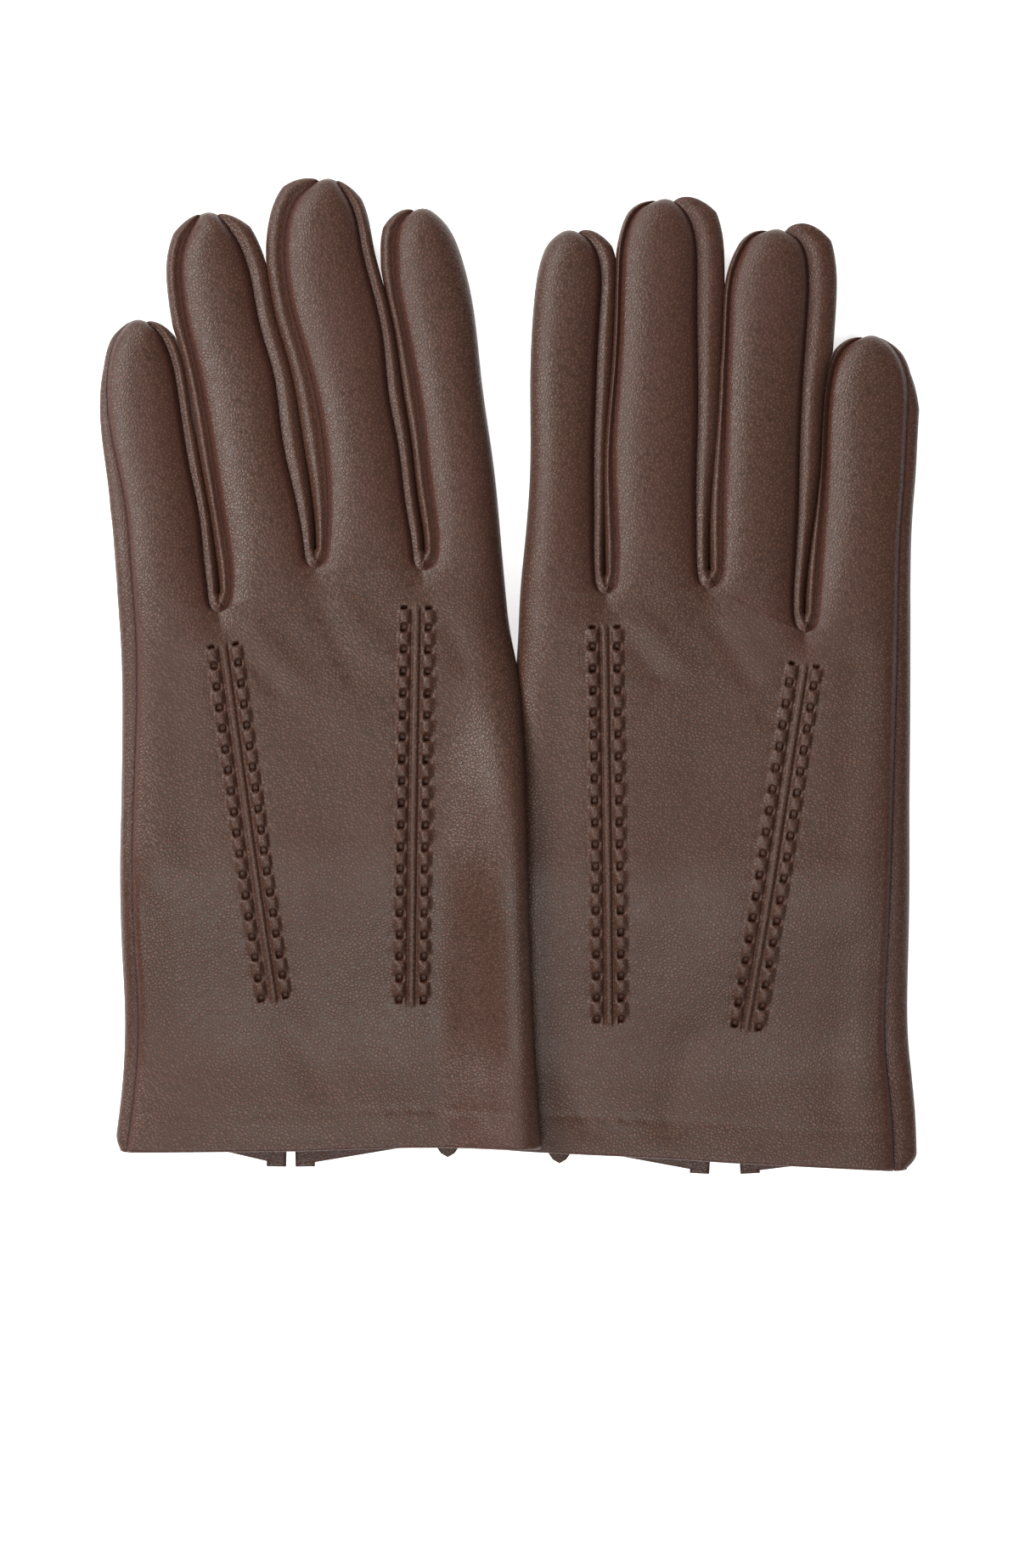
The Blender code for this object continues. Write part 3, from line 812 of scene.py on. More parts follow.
@dataclass
class Hand:
    """The hand of one glove: back, palm, side wrap, hem and lining, up to the forks."""

    cut: GloveCut
    strip_cells: tuple[int, int, int, int] = (38, 38, 38, 34)
    palm_cells: int = 20
    round_cells: int = 8
    roll_cells: int = 7
    rows: Array = field(init=False)

    def __post_init__(self) -> None:
        """Draws the pattern's lines on the glove's own frame."""
        cut, side = self.cut, self.cut.side
        self.little = SeamLine(sewn_marks(cut.little_seam, -side, starts_at_fork=False), side)
        self.fold = SeamLine(sewn_marks(cut.index_fold, side, starts_at_fork=False), side)
        self.forks = np.array(cut.forks, float) * (side, 1)
        self.forks[0, 0] = self.little.x_at(self.forks[0, 1])
        self.forks[4, 0] = self.fold.x_at(self.forks[4, 1])
        hem = sorted((side * x, y) for x, y in cut.hem)
        self.hem = SeamLine(tuple(hem))
        self.middle = side * cut.cuff_middle[0]
        self.vent = side * cut.vent_x
        near = np.arange(0.0, 12.0, 0.6)
        plain = np.arange(12.0, 31.0, 1.0)
        laced = np.linspace(31.0, HAND_LENGTH, 300)
        self.rows = np.concatenate([near, plain, laced]) / HAND_LENGTH
        little, index = self.along(Row.LITTLE, 1), self.along(Row.INDEX, 3)
        between = side * (little.x_at(HEM_Y) + index.x_at(HEM_Y)) / 2
        self.top_lines = [little, self.knot_line(2, between), index]
        self.palm_lines = [self.knot_line(n + 1, x) for n, x in enumerate(cut.palm_marks)]

    def along(self, row: Row, fork: int) -> SeamLine:
        """Returns the line from the hem up a laced line to its fork."""
        lacing, side = self.cut.lacing[row], self.cut.side
        top, wrist = np.array(lacing.top), np.array(lacing.wrist)
        low = wrist + (wrist - top) / (top[1] - wrist[1]) * (wrist[1] + 125.0)
        marks = (tuple(low), lacing.wrist, lacing.top, self.cut.forks[fork])
        return SeamLine(marks, side)

    def knot_line(self, number: int, low: float) -> SeamLine:
        """Returns the line from the hem at this X up to a fork."""
        fork = self.cut.forks[number]
        bent = (mix(low, fork[0], 0.55), -15.0)
        return SeamLine(((low, -130.0), (low, -95.0), (low, -62.0), bent, fork), self.cut.side)

    def strip_shares(self, number: int) -> Array:
        """Returns the shares across one strip of the back, closer together by the seams."""
        crowd = (1.0, 2.6) if number in (0, 2) else (2.6, 0.3)
        return crowded(self.strip_cells[number], *crowd, 0.25)

    def level(self, x: Array, y: Array) -> Array:
        """Height of the glove's mid-plane over the table."""
        u, v = x - self.middle, y - self.cut.cuff_middle[1]
        rise = mix(CUFF_LEVEL, PALM_LEVEL, smooth(v, CUFF_FLAT, PALM_STARTS))
        climb = smooth(u, 26.0, 49.0) * (1 - smooth(v, 80.0, 135.0))
        return rise + self.cut.overlap_lift * climb

    def half(self, y: Array) -> Array:
        """Half the hand's thickness at this Y."""
        return mix(CUFF_HALF, PALM_HALF, smooth(y - self.cut.cuff_middle[1], CUFF_FLAT, PALM_STARTS))

    def hem_y(self, x: Array, palm: bool) -> Array:
        """The hem's Y, which swings out beside the vent on the palm side."""
        base = np.interp(x, self.hem.points[:, 0], self.hem.points[:, 1])
        if not palm:
            return base
        away = np.asarray(x) - self.vent
        share = np.maximum(-away / VENT_REACH[0], away / VENT_REACH[1])
        return base - self.cut.vent_splay * (1 - smooth(share, 0.2, 1.0))

    def knots(self, lines: list[SeamLine], palm: bool) -> list[Array]:
        """Returns where each strip's borders lie on every row, from the little side."""
        made = []
        borders = [self.little, *lines, self.fold]
        for fork, line in zip(self.forks, borders):
            x = np.full(len(self.rows), fork[0])
            for _ in range(4):
                start = self.hem_y(x[:1], palm)[0]
                y = mix(start, fork[1], self.rows)
                x = line.x_at(y)
            x[-1] = fork[0]
            made.append(np.stack([x, y], -1))
        return made

    def relief(self, x: Array, y: Array) -> tuple[Array, Array]:
        """The back's soft shape over its plain section, and the shade painted into its laced lines."""
        side = self.cut.side
        v = y - self.hem_y(x, palm=False)
        u = x - self.middle
        height = 0.35 * np.sin(u / 13.0 + 1.1 * np.sin(v / 31.0)) * smooth(v, 12, 60)
        height += 0.3 * np.sin(v / 17.0 + u / 41.0 + side) * bell(u + 6 * side, 34)
        height += sum(crease.rise(x, y, side) for crease in self.cut.creases)
        wave = np.sin((0.9 * x + 0.35 * y) / 3.7 + 1.3 * np.sin(y / 19))
        height += 0.11 * wave * np.sin((y - 0.4 * x) / 5.6)
        order = np.argsort(self.forks[:, 0])
        fork_y = np.interp(x, self.forks[order, 0], self.forks[order, 1])
        height *= smooth(fork_y - y, 0.0, 9.0) * smooth(v, 1.0, 9.0)
        shade_and_dye = np.zeros_like(height)
        for lacing in self.cut.lacing.values():
            across, along = lacing.local(x, y, side)
            raised, depth = lacing.relief(across, along)
            height = height + raised
            shade_and_dye = np.maximum(shade_and_dye, depth)
        spot = np.mod(x, HEM_STITCH) - HEM_STITCH / 2
        dimple = bell(spot, 1.3) * bell(v - 8.6, 0.75) * bell(u - 24.0, 15.0)
        height -= 0.3 * dimple + 0.07 * bell(v - 8.8, 1.1)
        return height, shade_and_dye

    def top(self) -> tuple[Array, Array]:
        """Returns the back's points and their painted shade and dye, from the side seam to the index fold.
        """
        borders = self.knots(self.top_lines, palm=False)
        points, shade_and_dye_rows = [], []
        for number in range(4):
            start, end = borders[number], borders[number + 1]
            last = number == 3
            share = self.strip_shares(number)
            width = np.linalg.norm(end - start, axis=1)[:, None]
            flat = 1 - fold_round(width) / width if last else 1.0
            across = share[None, :] * flat
            xy = start[:, None] + (end - start)[:, None] * across[..., None]
            away = self.below_fork(xy)
            if number == 0:
                fall = self.side_seam(xy[..., 1]) * seam_fall(width * across, width)
            else:
                fall = FORK_DROP * seam_fall(width * across, width, away)
            if not last:
                fall = fall + FORK_DROP * seam_fall(width * (1 - across), width, away)
            raised, shade_and_dye = self.relief(xy[..., 0], xy[..., 1])
            z = self.level(xy[..., 0], xy[..., 1]) + self.half(xy[..., 1]) - fall
            z = z + raised * np.clip(width * across / 3 if number == 0 else 1.0, 0, 1)
            if number == 0:
                z = z - SEAM_PINCH * bell(width * across, SEAM_WIDTH)
                # Painted shade in the side seam's groove, with a reddish band beside it that is partly dye
                # and partly painted shade.
                shade_and_dye = np.maximum(shade_and_dye, seam_shade_and_dye(width * across))
            points.append(np.dstack([xy, z])[:, (number > 0) :])
            shade_and_dye_rows.append(shade_and_dye[:, (number > 0) :])
        return np.concatenate(points, 1), np.concatenate(shade_and_dye_rows, 1)

    def below_fork(self, xy: Array) -> Array:
        """How far each point lies below the line between its strip's forks."""
        return np.maximum(0.0, xy[-1, :, 1][None, :] - xy[..., 1])

    def bend(self, upper: bool) -> Array:
        """Returns the rounded index side, from the back down to the middle or on to the palm."""
        borders = self.knots(self.top_lines if upper else self.palm_lines, palm=not upper)
        start, end = borders[3], borders[4]
        ahead = end - start
        width = np.linalg.norm(ahead, axis=1)[:, None]
        turn = np.linspace(0, math.pi / 2, self.round_cells + 1)
        back = fold_round(width) * (1 - np.sin(turn))[None, :]
        xy = end[:, None] - (ahead / width)[:, None] * back[..., None]
        rise = np.cos(turn)[None, :] * self.half(xy[..., 1])
        if upper:
            raised, _ = self.relief(xy[..., 0], xy[..., 1])
            rise = rise + raised * np.cos(turn)[None, :] ** 2
        z = self.level(xy[..., 0], xy[..., 1]) + (rise if upper else -rise)
        made = np.dstack([xy, z])
        return made[:, 1:] if upper else made[:, ::-1][:, 1:]

    def palm(self) -> tuple[Array, int]:
        """Returns the palm's points from the index fold to the side seam, and the vent's column."""
        borders = self.knots(self.palm_lines, palm=True)
        half_slit = self.slit()
        parts, vent_column = [], 0
        for number in (3, 2, 1):
            start, end = borders[number].copy(), borders[number + 1].copy()
            if number == 2:
                start[:, 0] += half_slit
            if number == 1:
                end[:, 0] -= half_slit
            width = np.linalg.norm(end - start, axis=1)[:, None]
            flat = 1 - fold_round(width) / width if number == 3 else 1.0
            share = crowded(self.palm_cells, 1.0, 1.0, 0.2)[::-1]
            across = share[None, :] * flat
            xy = start[:, None] + (end - start)[:, None] * across[..., None]
            away = self.below_fork(xy)
            fall = FORK_DROP * seam_fall(width * across, width, away)
            if number != 3:
                fall = fall + FORK_DROP * seam_fall(width * (1 - across), width, away)
            z = self.level(xy[..., 0], xy[..., 1]) - self.half(xy[..., 1]) + fall
            if number == 1:
                vent_column = sum(p.shape[1] for p in parts) - 1
            parts.append(np.dstack([xy, z])[:, (number != 1) :])
        y = borders[0][:, 1]
        full = np.sqrt(smooth(self.rows * HAND_LENGTH, -0.4, 4.0))
        wrap = wrapped_side(
            borders[0], borders[1], self.level, self.half(y),
            self.side_seam(y) + SEAM_PINCH, self.side_width(y) * mix(0.5, 1.0, full),
            lambda xy, near, width: FORK_DROP * seam_fall(near, width, self.below_fork(xy)),
            self.palm_cells, self.roll_cells,
        )
        parts.append(wrap[:, 1:])
        return np.concatenate(parts, 1), vent_column

    def side_seam(self, y: Array) -> Array:
        """How far the side seam lies below the back."""
        return mix(SIDE_DROP[0], SIDE_DROP[1], smooth(y, -100.0, 10.0))

    def side_width(self, y: Array) -> Array:
        """How far the palm leather stands outside the side seam."""
        marks = np.array(self.cut.side_roll)
        return np.interp(y, marks[:, 0], marks[:, 1])

    def slit(self) -> Array:
        """Half the vent's width on every row."""
        v = self.rows * HAND_LENGTH
        open_part = mix(self.cut.vent_mouth, VENT_APEX, np.clip(v / VENT_LENGTH, 0, 1)) / 2
        closing = np.sqrt(np.clip((VENT_LENGTH + 1.2 - v) / 1.2, 0, 1))
        return open_part * closing

    def build(self) -> "HandSheets":
        """Returns the leather and lining sheets of the hand."""
        top, shade_and_dye = self.top()
        upper, lower = self.bend(upper=True), self.bend(upper=False)
        palm, vent_column = self.palm()
        points = np.concatenate([top, upper, lower, palm], 1)
        turn = top.shape[1] + upper.shape[1] - 1
        slit = top.shape[1] + upper.shape[1] + lower.shape[1] + vent_column
        edge = np.zeros(points.shape[:2])
        edge[:, : shade_and_dye.shape[1]] = shade_and_dye
        seam_away = np.linalg.norm(palm - palm[:, -1:], axis=2)
        # The palm and its side wrap are tinted a little redder, partly dye and partly painted shade, and
        # painted dark in the side seam's groove as painted shade.
        edge[:, -palm.shape[1] :] = 0.12 + 0.8 * bell(seam_away, 0.4)
        tag = (np.arange(points.shape[1]) > turn).astype(int)
        facing = self.turned_hem(points)
        # The rolled hem and its turning inside the cuff are tinted redder: partly dye, partly painted shade.
        edge = np.concatenate([np.full(facing.shape[:2], 0.3), edge])
        leather = Sheet(np.concatenate([facing, points]), tag, edge, (slit,))
        return HandSheets(leather, self.lining(points, slit), points, slit)

    def outward(self, points: Array) -> Array:
        """Returns the direction out of the glove at each point."""
        along = np.gradient(points, axis=0)
        across = np.gradient(points, axis=1)
        facing = np.cross(across, along)
        return facing / np.maximum(np.linalg.norm(facing, axis=2), 1e-9)[..., None]

    def turned_hem(self, points: Array) -> Array:
        """Returns the rows of the hem, from its turning inside the cuff round to its outer edge."""
        out = self.outward(points[:30:6])
        inside = []
        for depth in (HEM_TURN, 6.0, 3.0, 1.2):
            row = int(np.argmin(np.abs(self.rows * HAND_LENGTH - depth)))
            inside.append(points[row] - out[0] * 2 * HEM_RADIUS)
        rolled = []
        for angle in np.linspace(math.pi, 0.3, 7):
            over = -out[0] * HEM_RADIUS * (1 - math.cos(angle))
            rolled.append(points[0] + over + np.array([0, -HEM_RADIUS * math.sin(angle), 0]))
        return np.stack(inside + rolled)

    def lining(self, points: Array, slit: int) -> Sheet:
        """Returns the knit lining, a closed bag inside the leather."""
        v = self.rows * HAND_LENGTH
        chosen = [int(np.argmin(np.abs(v - d))) for d in (7.5, 12, 20, 32, 46, 60, 76, 95, 112, 126)]
        columns = list(range(0, points.shape[1], 4))
        out = self.outward(points[chosen])
        rows = points[chosen] - out * LINING_INSET
        rows = rows[:, columns]
        closed = rows[-1].copy()
        closed[:, 2] = self.level(closed[:, 0], closed[:, 1])
        closed[:, 1] += 2.0
        rows = np.concatenate([rows, closed[None]])[::-1]
        return Sheet(np.concatenate([rows, rows[:, :1]], 1), 7)


@dataclass
class HandSheets:
    """What the hand is made of, and the places that other pieces are sewn to."""

    leather: Sheet
    lining: Sheet
    outer: Array
    slit: int


def seam_fall(near: Array, width: Array, away: Array | float = 0.0) -> Array:
    """How much of its full fall the leather has at a point near a seam or a fork.

    Args:
        near: Distance across the strip from the seam.
        width: The strip's width.
        away: Distance below the fork that the seam ends at.

    Returns:
        A share, 1 at the seam or the fork.
    """
    reach = np.minimum(FALL_REACH, np.maximum(width, 1e-6) / 2)
    return np.clip(1 - np.hypot(near / reach, 0.85 * away / FALL_REACH), 0, 1) ** SEAM_FALL


def fold_round(width: Array, full: Array | float = FOLD_ROUND) -> Array:
    """How wide the rounded index side is, which is less on a narrow strip."""
    return np.minimum(full, 0.45 * width)


def seam_shade_and_dye(near: Array) -> Array:
    """How much painted shade and red dye lie near a seam: reddish beside it, partly dye and partly painted
    shade, and dark in the seam's groove itself, which is painted shade.
    """
    return 0.34 * bell(near, 2.6) + 0.66 * bell(near, 0.42)


def wrapped_side(
    outer: Array,
    inner: Array,
    level: Callable[[Array, Array], Array],
    half: Array,
    seam_drop: Array,
    width: Array,
    fork_drop: Callable[[Array, Array, Array], Array],
    flat_cells: int,
    roll_cells: int,
    rounding: Array | float = FINGER_ROUND,
) -> Array:
    """The palm leather at the little side: across the palm, round the side and up to the seam.

    Args:
        outer: The side seam on every row.
        inner: The strip's other border on every row.
        level: Height of the mid-plane at a point.
        half: Half the thickness on every row.
        seam_drop: How far the seam lies below the back.
        width: How far the leather stands outside the seam.
        fork_drop: How far the palm rises to the inner border.
        flat_cells: Cells across the flat part.
        roll_cells: Cells in each quarter of the side.
        rounding: How wide the lower quarter is.

    Returns:
        Points from the inner border to the side seam.
    """
    gap = inner - outer
    reach = np.linalg.norm(gap, axis=1)
    ahead = gap / np.maximum(reach, 1e-6)[:, None]
    rounding = np.minimum(rounding, 0.45 * reach)
    quarter = np.linspace(0, math.pi / 2, roll_cells + 1)
    share = crowded(flat_cells, 0.6, 1.0, 0.2)[::-1]
    start = (rounding - width)[:, None]
    flat = start + (reach[:, None] - start) * share[None, :]
    low = -width[:, None] + rounding[:, None] * (1 - np.sin(quarter))[None, :]
    high = -width[:, None] * np.cos(quarter)[None, :]
    across = np.concatenate([flat, low[:, 1:], high[:, 1:]], 1)
    xy = outer[:, None] + ahead[:, None] * across[..., None]
    middle = level(xy[..., 0], xy[..., 1])
    half, seam_drop = half[:, None], seam_drop[:, None]
    near = np.clip(reach[:, None] - flat, 0, None)
    rise = fork_drop(xy[:, : flat.shape[1]], near, reach[:, None])
    depth = np.concatenate(
        [
            -half + rise,
            -half * np.cos(quarter)[None, 1:],
            (half - seam_drop) * np.sin(quarter)[None, 1:],
        ],
        1,
    )
    return np.dstack([xy, middle + depth])


@dataclass
class Finger:
    """One finger stall: its back, palm and side walls, from its forks to its tip."""

    hand: Hand
    cut: FingerCut
    number: int
    rows: int = 200

    def __post_init__(self) -> None:
        """Finds the seams on both sides, and the finger's height along its length."""
        hand, side = self.hand, self.hand.cut.side
        start, end = hand.forks[self.number], hand.forks[self.number + 1]
        self.is_little = not self.cut.outer
        self.is_index = not self.cut.inner
        self.share = crowded(self.rows, 0.2, 0.9, 0.16)
        if self.is_little:
            self.outer_line = hand.little
            self.outer = hand.little.at(self.share, hand.little.share_at(start[1]))
        else:
            self.outer_line = SeamLine(sewn_marks(self.cut.outer, -side), side)
            self.outer = self.outer_line.at(self.share)
        if self.is_index:
            self.inner_line = hand.fold
            self.inner = hand.fold.at(self.share, hand.fold.share_at(end[1]))
        else:
            self.inner_line = SeamLine(sewn_marks(self.cut.inner, side), side)
            self.inner = self.inner_line.at(self.share)
        self.outer[0], self.inner[0] = start, end
        tip = (self.outer[-1] + self.inner[-1]) / 2
        self.gap = self.inner - self.outer
        self.width = np.linalg.norm(self.gap, axis=1)
        self.ahead = self.gap / np.maximum(self.width, 1e-6)[:, None]
        self.ahead[-1] = self.ahead[-2]
        middle = (self.outer + self.inner) / 2
        away = np.linalg.norm(middle - tip, axis=1)
        near = np.clip(1 - away / TIP_ROUND, 0, 1)
        self.rounding = np.sqrt(np.clip(1 - near**2.2, 0, 1))
        self.half = mix(PALM_HALF, TIP_HALF, smooth(self.share, 0, 0.7)) * self.rounding
        self.level = mix(PALM_LEVEL, TIP_LEVEL, smooth(self.share, -0.02, 1.02))
        self.level[0] = PALM_LEVEL
        self.fall = mix(FORK_DROP, FINGER_DROP, smooth(self.share, 0, 0.25)) * self.rounding
        self.side_fall = hand.side_seam(self.outer[:, 1]) * self.rounding

    def cells(self, palm: bool) -> Array:
        """Returns the shares across a strip, the same as the hand's at the forks."""
        if palm:
            return crowded(self.hand.palm_cells, 1.0, 1.0, 0.2)
        return self.hand.strip_shares(self.number)

    def round_width(self) -> Array:
        """How wide the rounded index side is on every row."""
        shrink = mix(FOLD_ROUND, FINGER_ROUND, smooth(self.share, 0, 0.3))
        return fold_round(self.width, shrink)

    def surface(self, palm: bool) -> Array:
        """Returns the back's or palm's points, from the little side to the index side."""
        share = self.cells(palm)
        edge = self.round_width() if self.is_index else np.zeros(len(self.share))
        flat = 1 - edge / np.maximum(self.width, 1e-6)
        flat[-1] = flat[-2]
        across = share[None, :] * flat[:, None]
        left = self.side_fall if self.is_little and not palm else self.fall
        right = np.zeros_like(self.fall) if self.is_index else self.fall
        wide = self.width[:, None]
        drop = left[:, None] * seam_fall(wide * across, wide)
        drop = drop + right[:, None] * seam_fall(wide * (1 - across), wide)
        xy = self.outer[:, None] + self.gap[:, None] * across[..., None]
        height = self.half[:, None] - drop
        near = self.pinch(self.is_little and not palm)[:, None] * bell(wide * across, SEAM_WIDTH)
        if not self.is_index:
            far = self.pinch(False)[:, None] * bell(wide * (1 - across), SEAM_WIDTH)
            near = np.maximum(near, far)
        height = height - near
        z = self.level[:, None] + (-height if palm else height)
        return self.domed(np.dstack([xy, z]))

    def domed(self, points: Array) -> Array:
        """Arches the end of the finger between its seams."""
        reach = ((points[..., :2] - self.outer[:, None]) * self.ahead[:, None]).sum(-1)
        across = np.clip(reach / np.maximum(self.width, 1e-6)[:, None], 0, 1)
        forward = np.array([-self.ahead[-1, 1], self.ahead[-1, 0]])
        rise = CAP_RISE * 4 * across * (1 - across) * (1 - self.rounding)[:, None]
        made = points.copy()
        made[..., :2] += forward * rise[..., None]
        return made

    def pinch(self, runs_down: bool) -> Array:
        """How deep a seam pulls the leather in. It starts at the fork unless it runs on down the hand."""
        begun = np.ones(len(self.share)) if runs_down else smooth(self.share, 0.0, 0.04)
        return SEAM_PINCH * begun * self.rounding

    def seam_height(self, outer: bool) -> Array:
        """Height of the back seam over the finger's middle, on every row."""
        side_seam = outer and self.is_little
        return self.half - (self.side_fall if side_seam else self.fall) - self.pinch(side_seam)

    def bend(self, upper: bool) -> Array:
        """Returns the rounded index side of an index finger, above or below the middle."""
        turn = np.linspace(0, math.pi / 2, self.hand.round_cells + 1)
        back = self.round_width()[:, None] * (1 - np.sin(turn))[None, :]
        xy = self.inner[:, None] - self.ahead[:, None] * back[..., None]
        rise = self.half[:, None] * np.cos(turn)[None, :]
        made = self.domed(np.dstack([xy, self.level[:, None] + (rise if upper else -rise)]))
        return made[:, 1:] if upper else made[:, ::-1][:, 1:]

    def roll_width(self, own: Array, line: SeamLine, other: SeamLine, outer: bool) -> Array:
        """How far a side wall stands out of its seam: it meets the next finger's wall on the way."""
        split = self.hand.cut.roll_split if outer else 1 - self.hand.cut.roll_split
        wide = split > 0.5
        parted = smooth(self.share, 0.1, 0.42) if wide else smooth(self.share, 0.15, 0.6)
        beside = [seam.at(np.array([5.0 / seam.reach[-1]]))[0] for seam in (line, other)]
        round_fork = FORK_FILL * math.dist(*beside) / 2
        near = 1 - smooth(np.linalg.norm(own - own[0], axis=1), 4.5, 8.0)
        apart = other.distance(own)
        spare = apart - mix(ROLL_MOST, NARROW_ROLL, parted) if wide else 0.0
        met = np.maximum(apart * mix(0.5, split, parted), spare)
        room = np.maximum(met, round_fork * near) + ROLL_PRESS
        most = mix(ROLL_MOST, self.cut.rolls[not outer], smooth(self.share, 0.35, 0.66))
        left = (1 - self.share) * line.reach[-1]
        taper = np.minimum(1.0, (left / TIP_TAPER) ** 0.6)
        return np.clip(np.minimum(room, most), 0.0, None) * taper

    def wall(self, outer: bool, other: SeamLine) -> Sheet:
        """Returns one side wall: the fourchette, bulging between the back seam and the palm seam."""
        own = self.outer if outer else self.inner
        line = self.outer_line if outer else self.inner_line
        width = self.roll_width(own, line, other, outer)
        tangent = np.gradient(own, axis=0)
        tangent /= np.maximum(np.linalg.norm(tangent, axis=1), 1e-9)[:, None]
        out = np.stack([-tangent[:, 1], tangent[:, 0]], -1)
        out = out if outer else -out
        # Both rolls start in one direction, so that they run into each other round the fork.
        turned = smooth(np.linalg.norm(own - own[0], axis=1), 0.0, 2.2)[:, None]
        out = mix(np.array([0.0, 1.0]), out, turned)
        out /= np.linalg.norm(out, axis=1)[:, None]
        turn = math.pi * crowded(22, 1.5, 1.5, 0.2)
        seam = self.seam_height(outer)
        swell = np.sin(turn)[None, :] ** 0.8
        lift = ROLL_RISE * self.rounding * smooth(width, 0.0, 0.8)
        edge = 1 - np.exp(-((np.minimum(turn, math.pi - turn) / 0.28) ** 2))
        height = np.cos(turn)[None, :] * (seam[:, None] + lift[:, None] * edge[None, :])
        xy = own[:, None] + out[:, None] * (width[:, None] * swell)[..., None]
        made = np.dstack([xy, self.level[:, None] + height])
        made = made if not outer else made[:, ::-1]
        # Painted shade: the side walls are tinted redder all over, and go dark where they turn into their
        # seams and where they close up at the forks and the tip.
        shade_and_dye = 0.16 + 0.8 * bell(width[:, None] * swell, 0.32)
        return Sheet(made, 3 + outer, shade_and_dye if not outer else shade_and_dye[:, ::-1])

    def little_palm(self) -> Array:
        """Returns the little finger's palm, wrapped round its outer side up to the back seam."""
        wide = self.hand.side_width(self.outer[:, 1]) * np.clip(self.rounding * 1.2, 0, 1)
        seam = self.half - self.seam_height(outer=True)

        def level(x: Array, y: Array) -> Array:
            return np.broadcast_to(self.level[:, None], x.shape)

        def rise(xy: Array, near: Array, width: Array) -> Array:
            return self.fall[:, None] * seam_fall(near, width)

        made = wrapped_side(
            self.outer, self.inner, level, self.half, seam, wide, rise,
            self.hand.palm_cells, self.hand.roll_cells,
        )
        return self.domed(made)

    def seam_shade_dye_and_stitches(self, points: Array) -> Array:
        """Returns the painted shade and red dye beside the seams, with the stitch bites: reddish beside each
        seam, partly dye and partly painted shade, dark in the seam's groove as painted shade, most near the
        seams and at the tip.
        """
        flat = points[..., :2]
        low = np.linalg.norm(flat - self.outer[:, None], axis=2)
        high = np.linalg.norm(flat - self.inner[:, None], axis=2)
        begun = smooth(self.share, 0, 0.03)[:, None]
        near = seam_shade_and_dye(low) * (1.0 if self.is_little else begun)
        if not self.is_index:
            near = np.maximum(near, seam_shade_and_dye(high) * begun)
        # Overcast stitches show as short dark bites beside the seam, twice as far apart as real ones.
        steps = np.linalg.norm(np.diff(self.outer, axis=0), axis=1)
        reach = np.concatenate([[0.0], np.cumsum(steps)])
        bite = (0.5 + 0.5 * np.cos(2 * math.pi * reach / SEAM_STITCH))[:, None] ** 2 * begun
        beside = low if self.is_index else np.minimum(low, high)
        return np.clip(near + 0.4 * bite * bell(beside - 0.8, 0.4), 0, 1)

    def sheets(self, before: SeamLine | None, after: SeamLine | None) -> dict[str, Sheet]:
        """Returns every panel of the finger by the name of the piece it makes.

        Args:
            before: The neighbour's seam on the little side.
            after: The neighbour's seam on the index side.
        """
        made = {}
        back = self.surface(palm=False)
        palm = self.surface(palm=True)
        if self.is_index:
            points = np.concatenate(
                [back, self.bend(upper=True), self.bend(upper=False), palm[:, ::-1][:, 1:]], 1
            )
            turn = back.shape[1] + self.hand.round_cells - 1
            tag = (np.arange(points.shape[1]) > turn).astype(int)
            edge = np.zeros(points.shape[:2])
            edge[:, : back.shape[1]] = self.seam_shade_dye_and_stitches(back)
            made["stall"] = Sheet(points, tag, edge)
        else:
            made["back"] = Sheet(back, 0, self.seam_shade_dye_and_stitches(back))
            under = self.little_palm() if self.is_little else palm[:, ::-1]
            spread = np.linalg.norm(under - under[:, -1:], axis=2)
            # The palm is tinted a little redder, partly dye and partly painted shade, and painted dark in
            # the groove of its seam as painted shade.
            made["palm"] = Sheet(under, 1, 0.12 + 0.8 * bell(spread, 0.4))
        if after is not None:
            made["index_side"] = self.wall(outer=False, other=after)
        if before is not None:
            made["little_side"] = self.wall(outer=True, other=before)
        return made


FINGER_NODES = {
    ("little", "back"): ("back", "lining"),
    ("little", "palm"): ("palm",),
    ("little", "index_side"): ("fourchette_leg",),
    ("ring", "back"): ("back", "lining"),
    ("ring", "palm"): ("palm",),
    ("ring", "index_side"): ("fourchette_leg_index_side",),
    ("ring", "little_side"): ("fourchette_leg_little_side",),
    ("middle", "back"): ("back", "lining"),
    ("middle", "palm"): ("palm",),
    ("middle", "index_side"): ("fourchette_leg_index_side",),
    ("middle", "little_side"): ("fourchette_leg_little_side",),
    ("index", "stall"): ("stall", "lining"),
    ("index", "little_side"): ("fourchette_leg",),
}
CROTCH_BESIDE = {
    "ring": "crotch_little_ring",
    "middle": "crotch_ring_middle",
    "index": "crotch_middle_index",
}


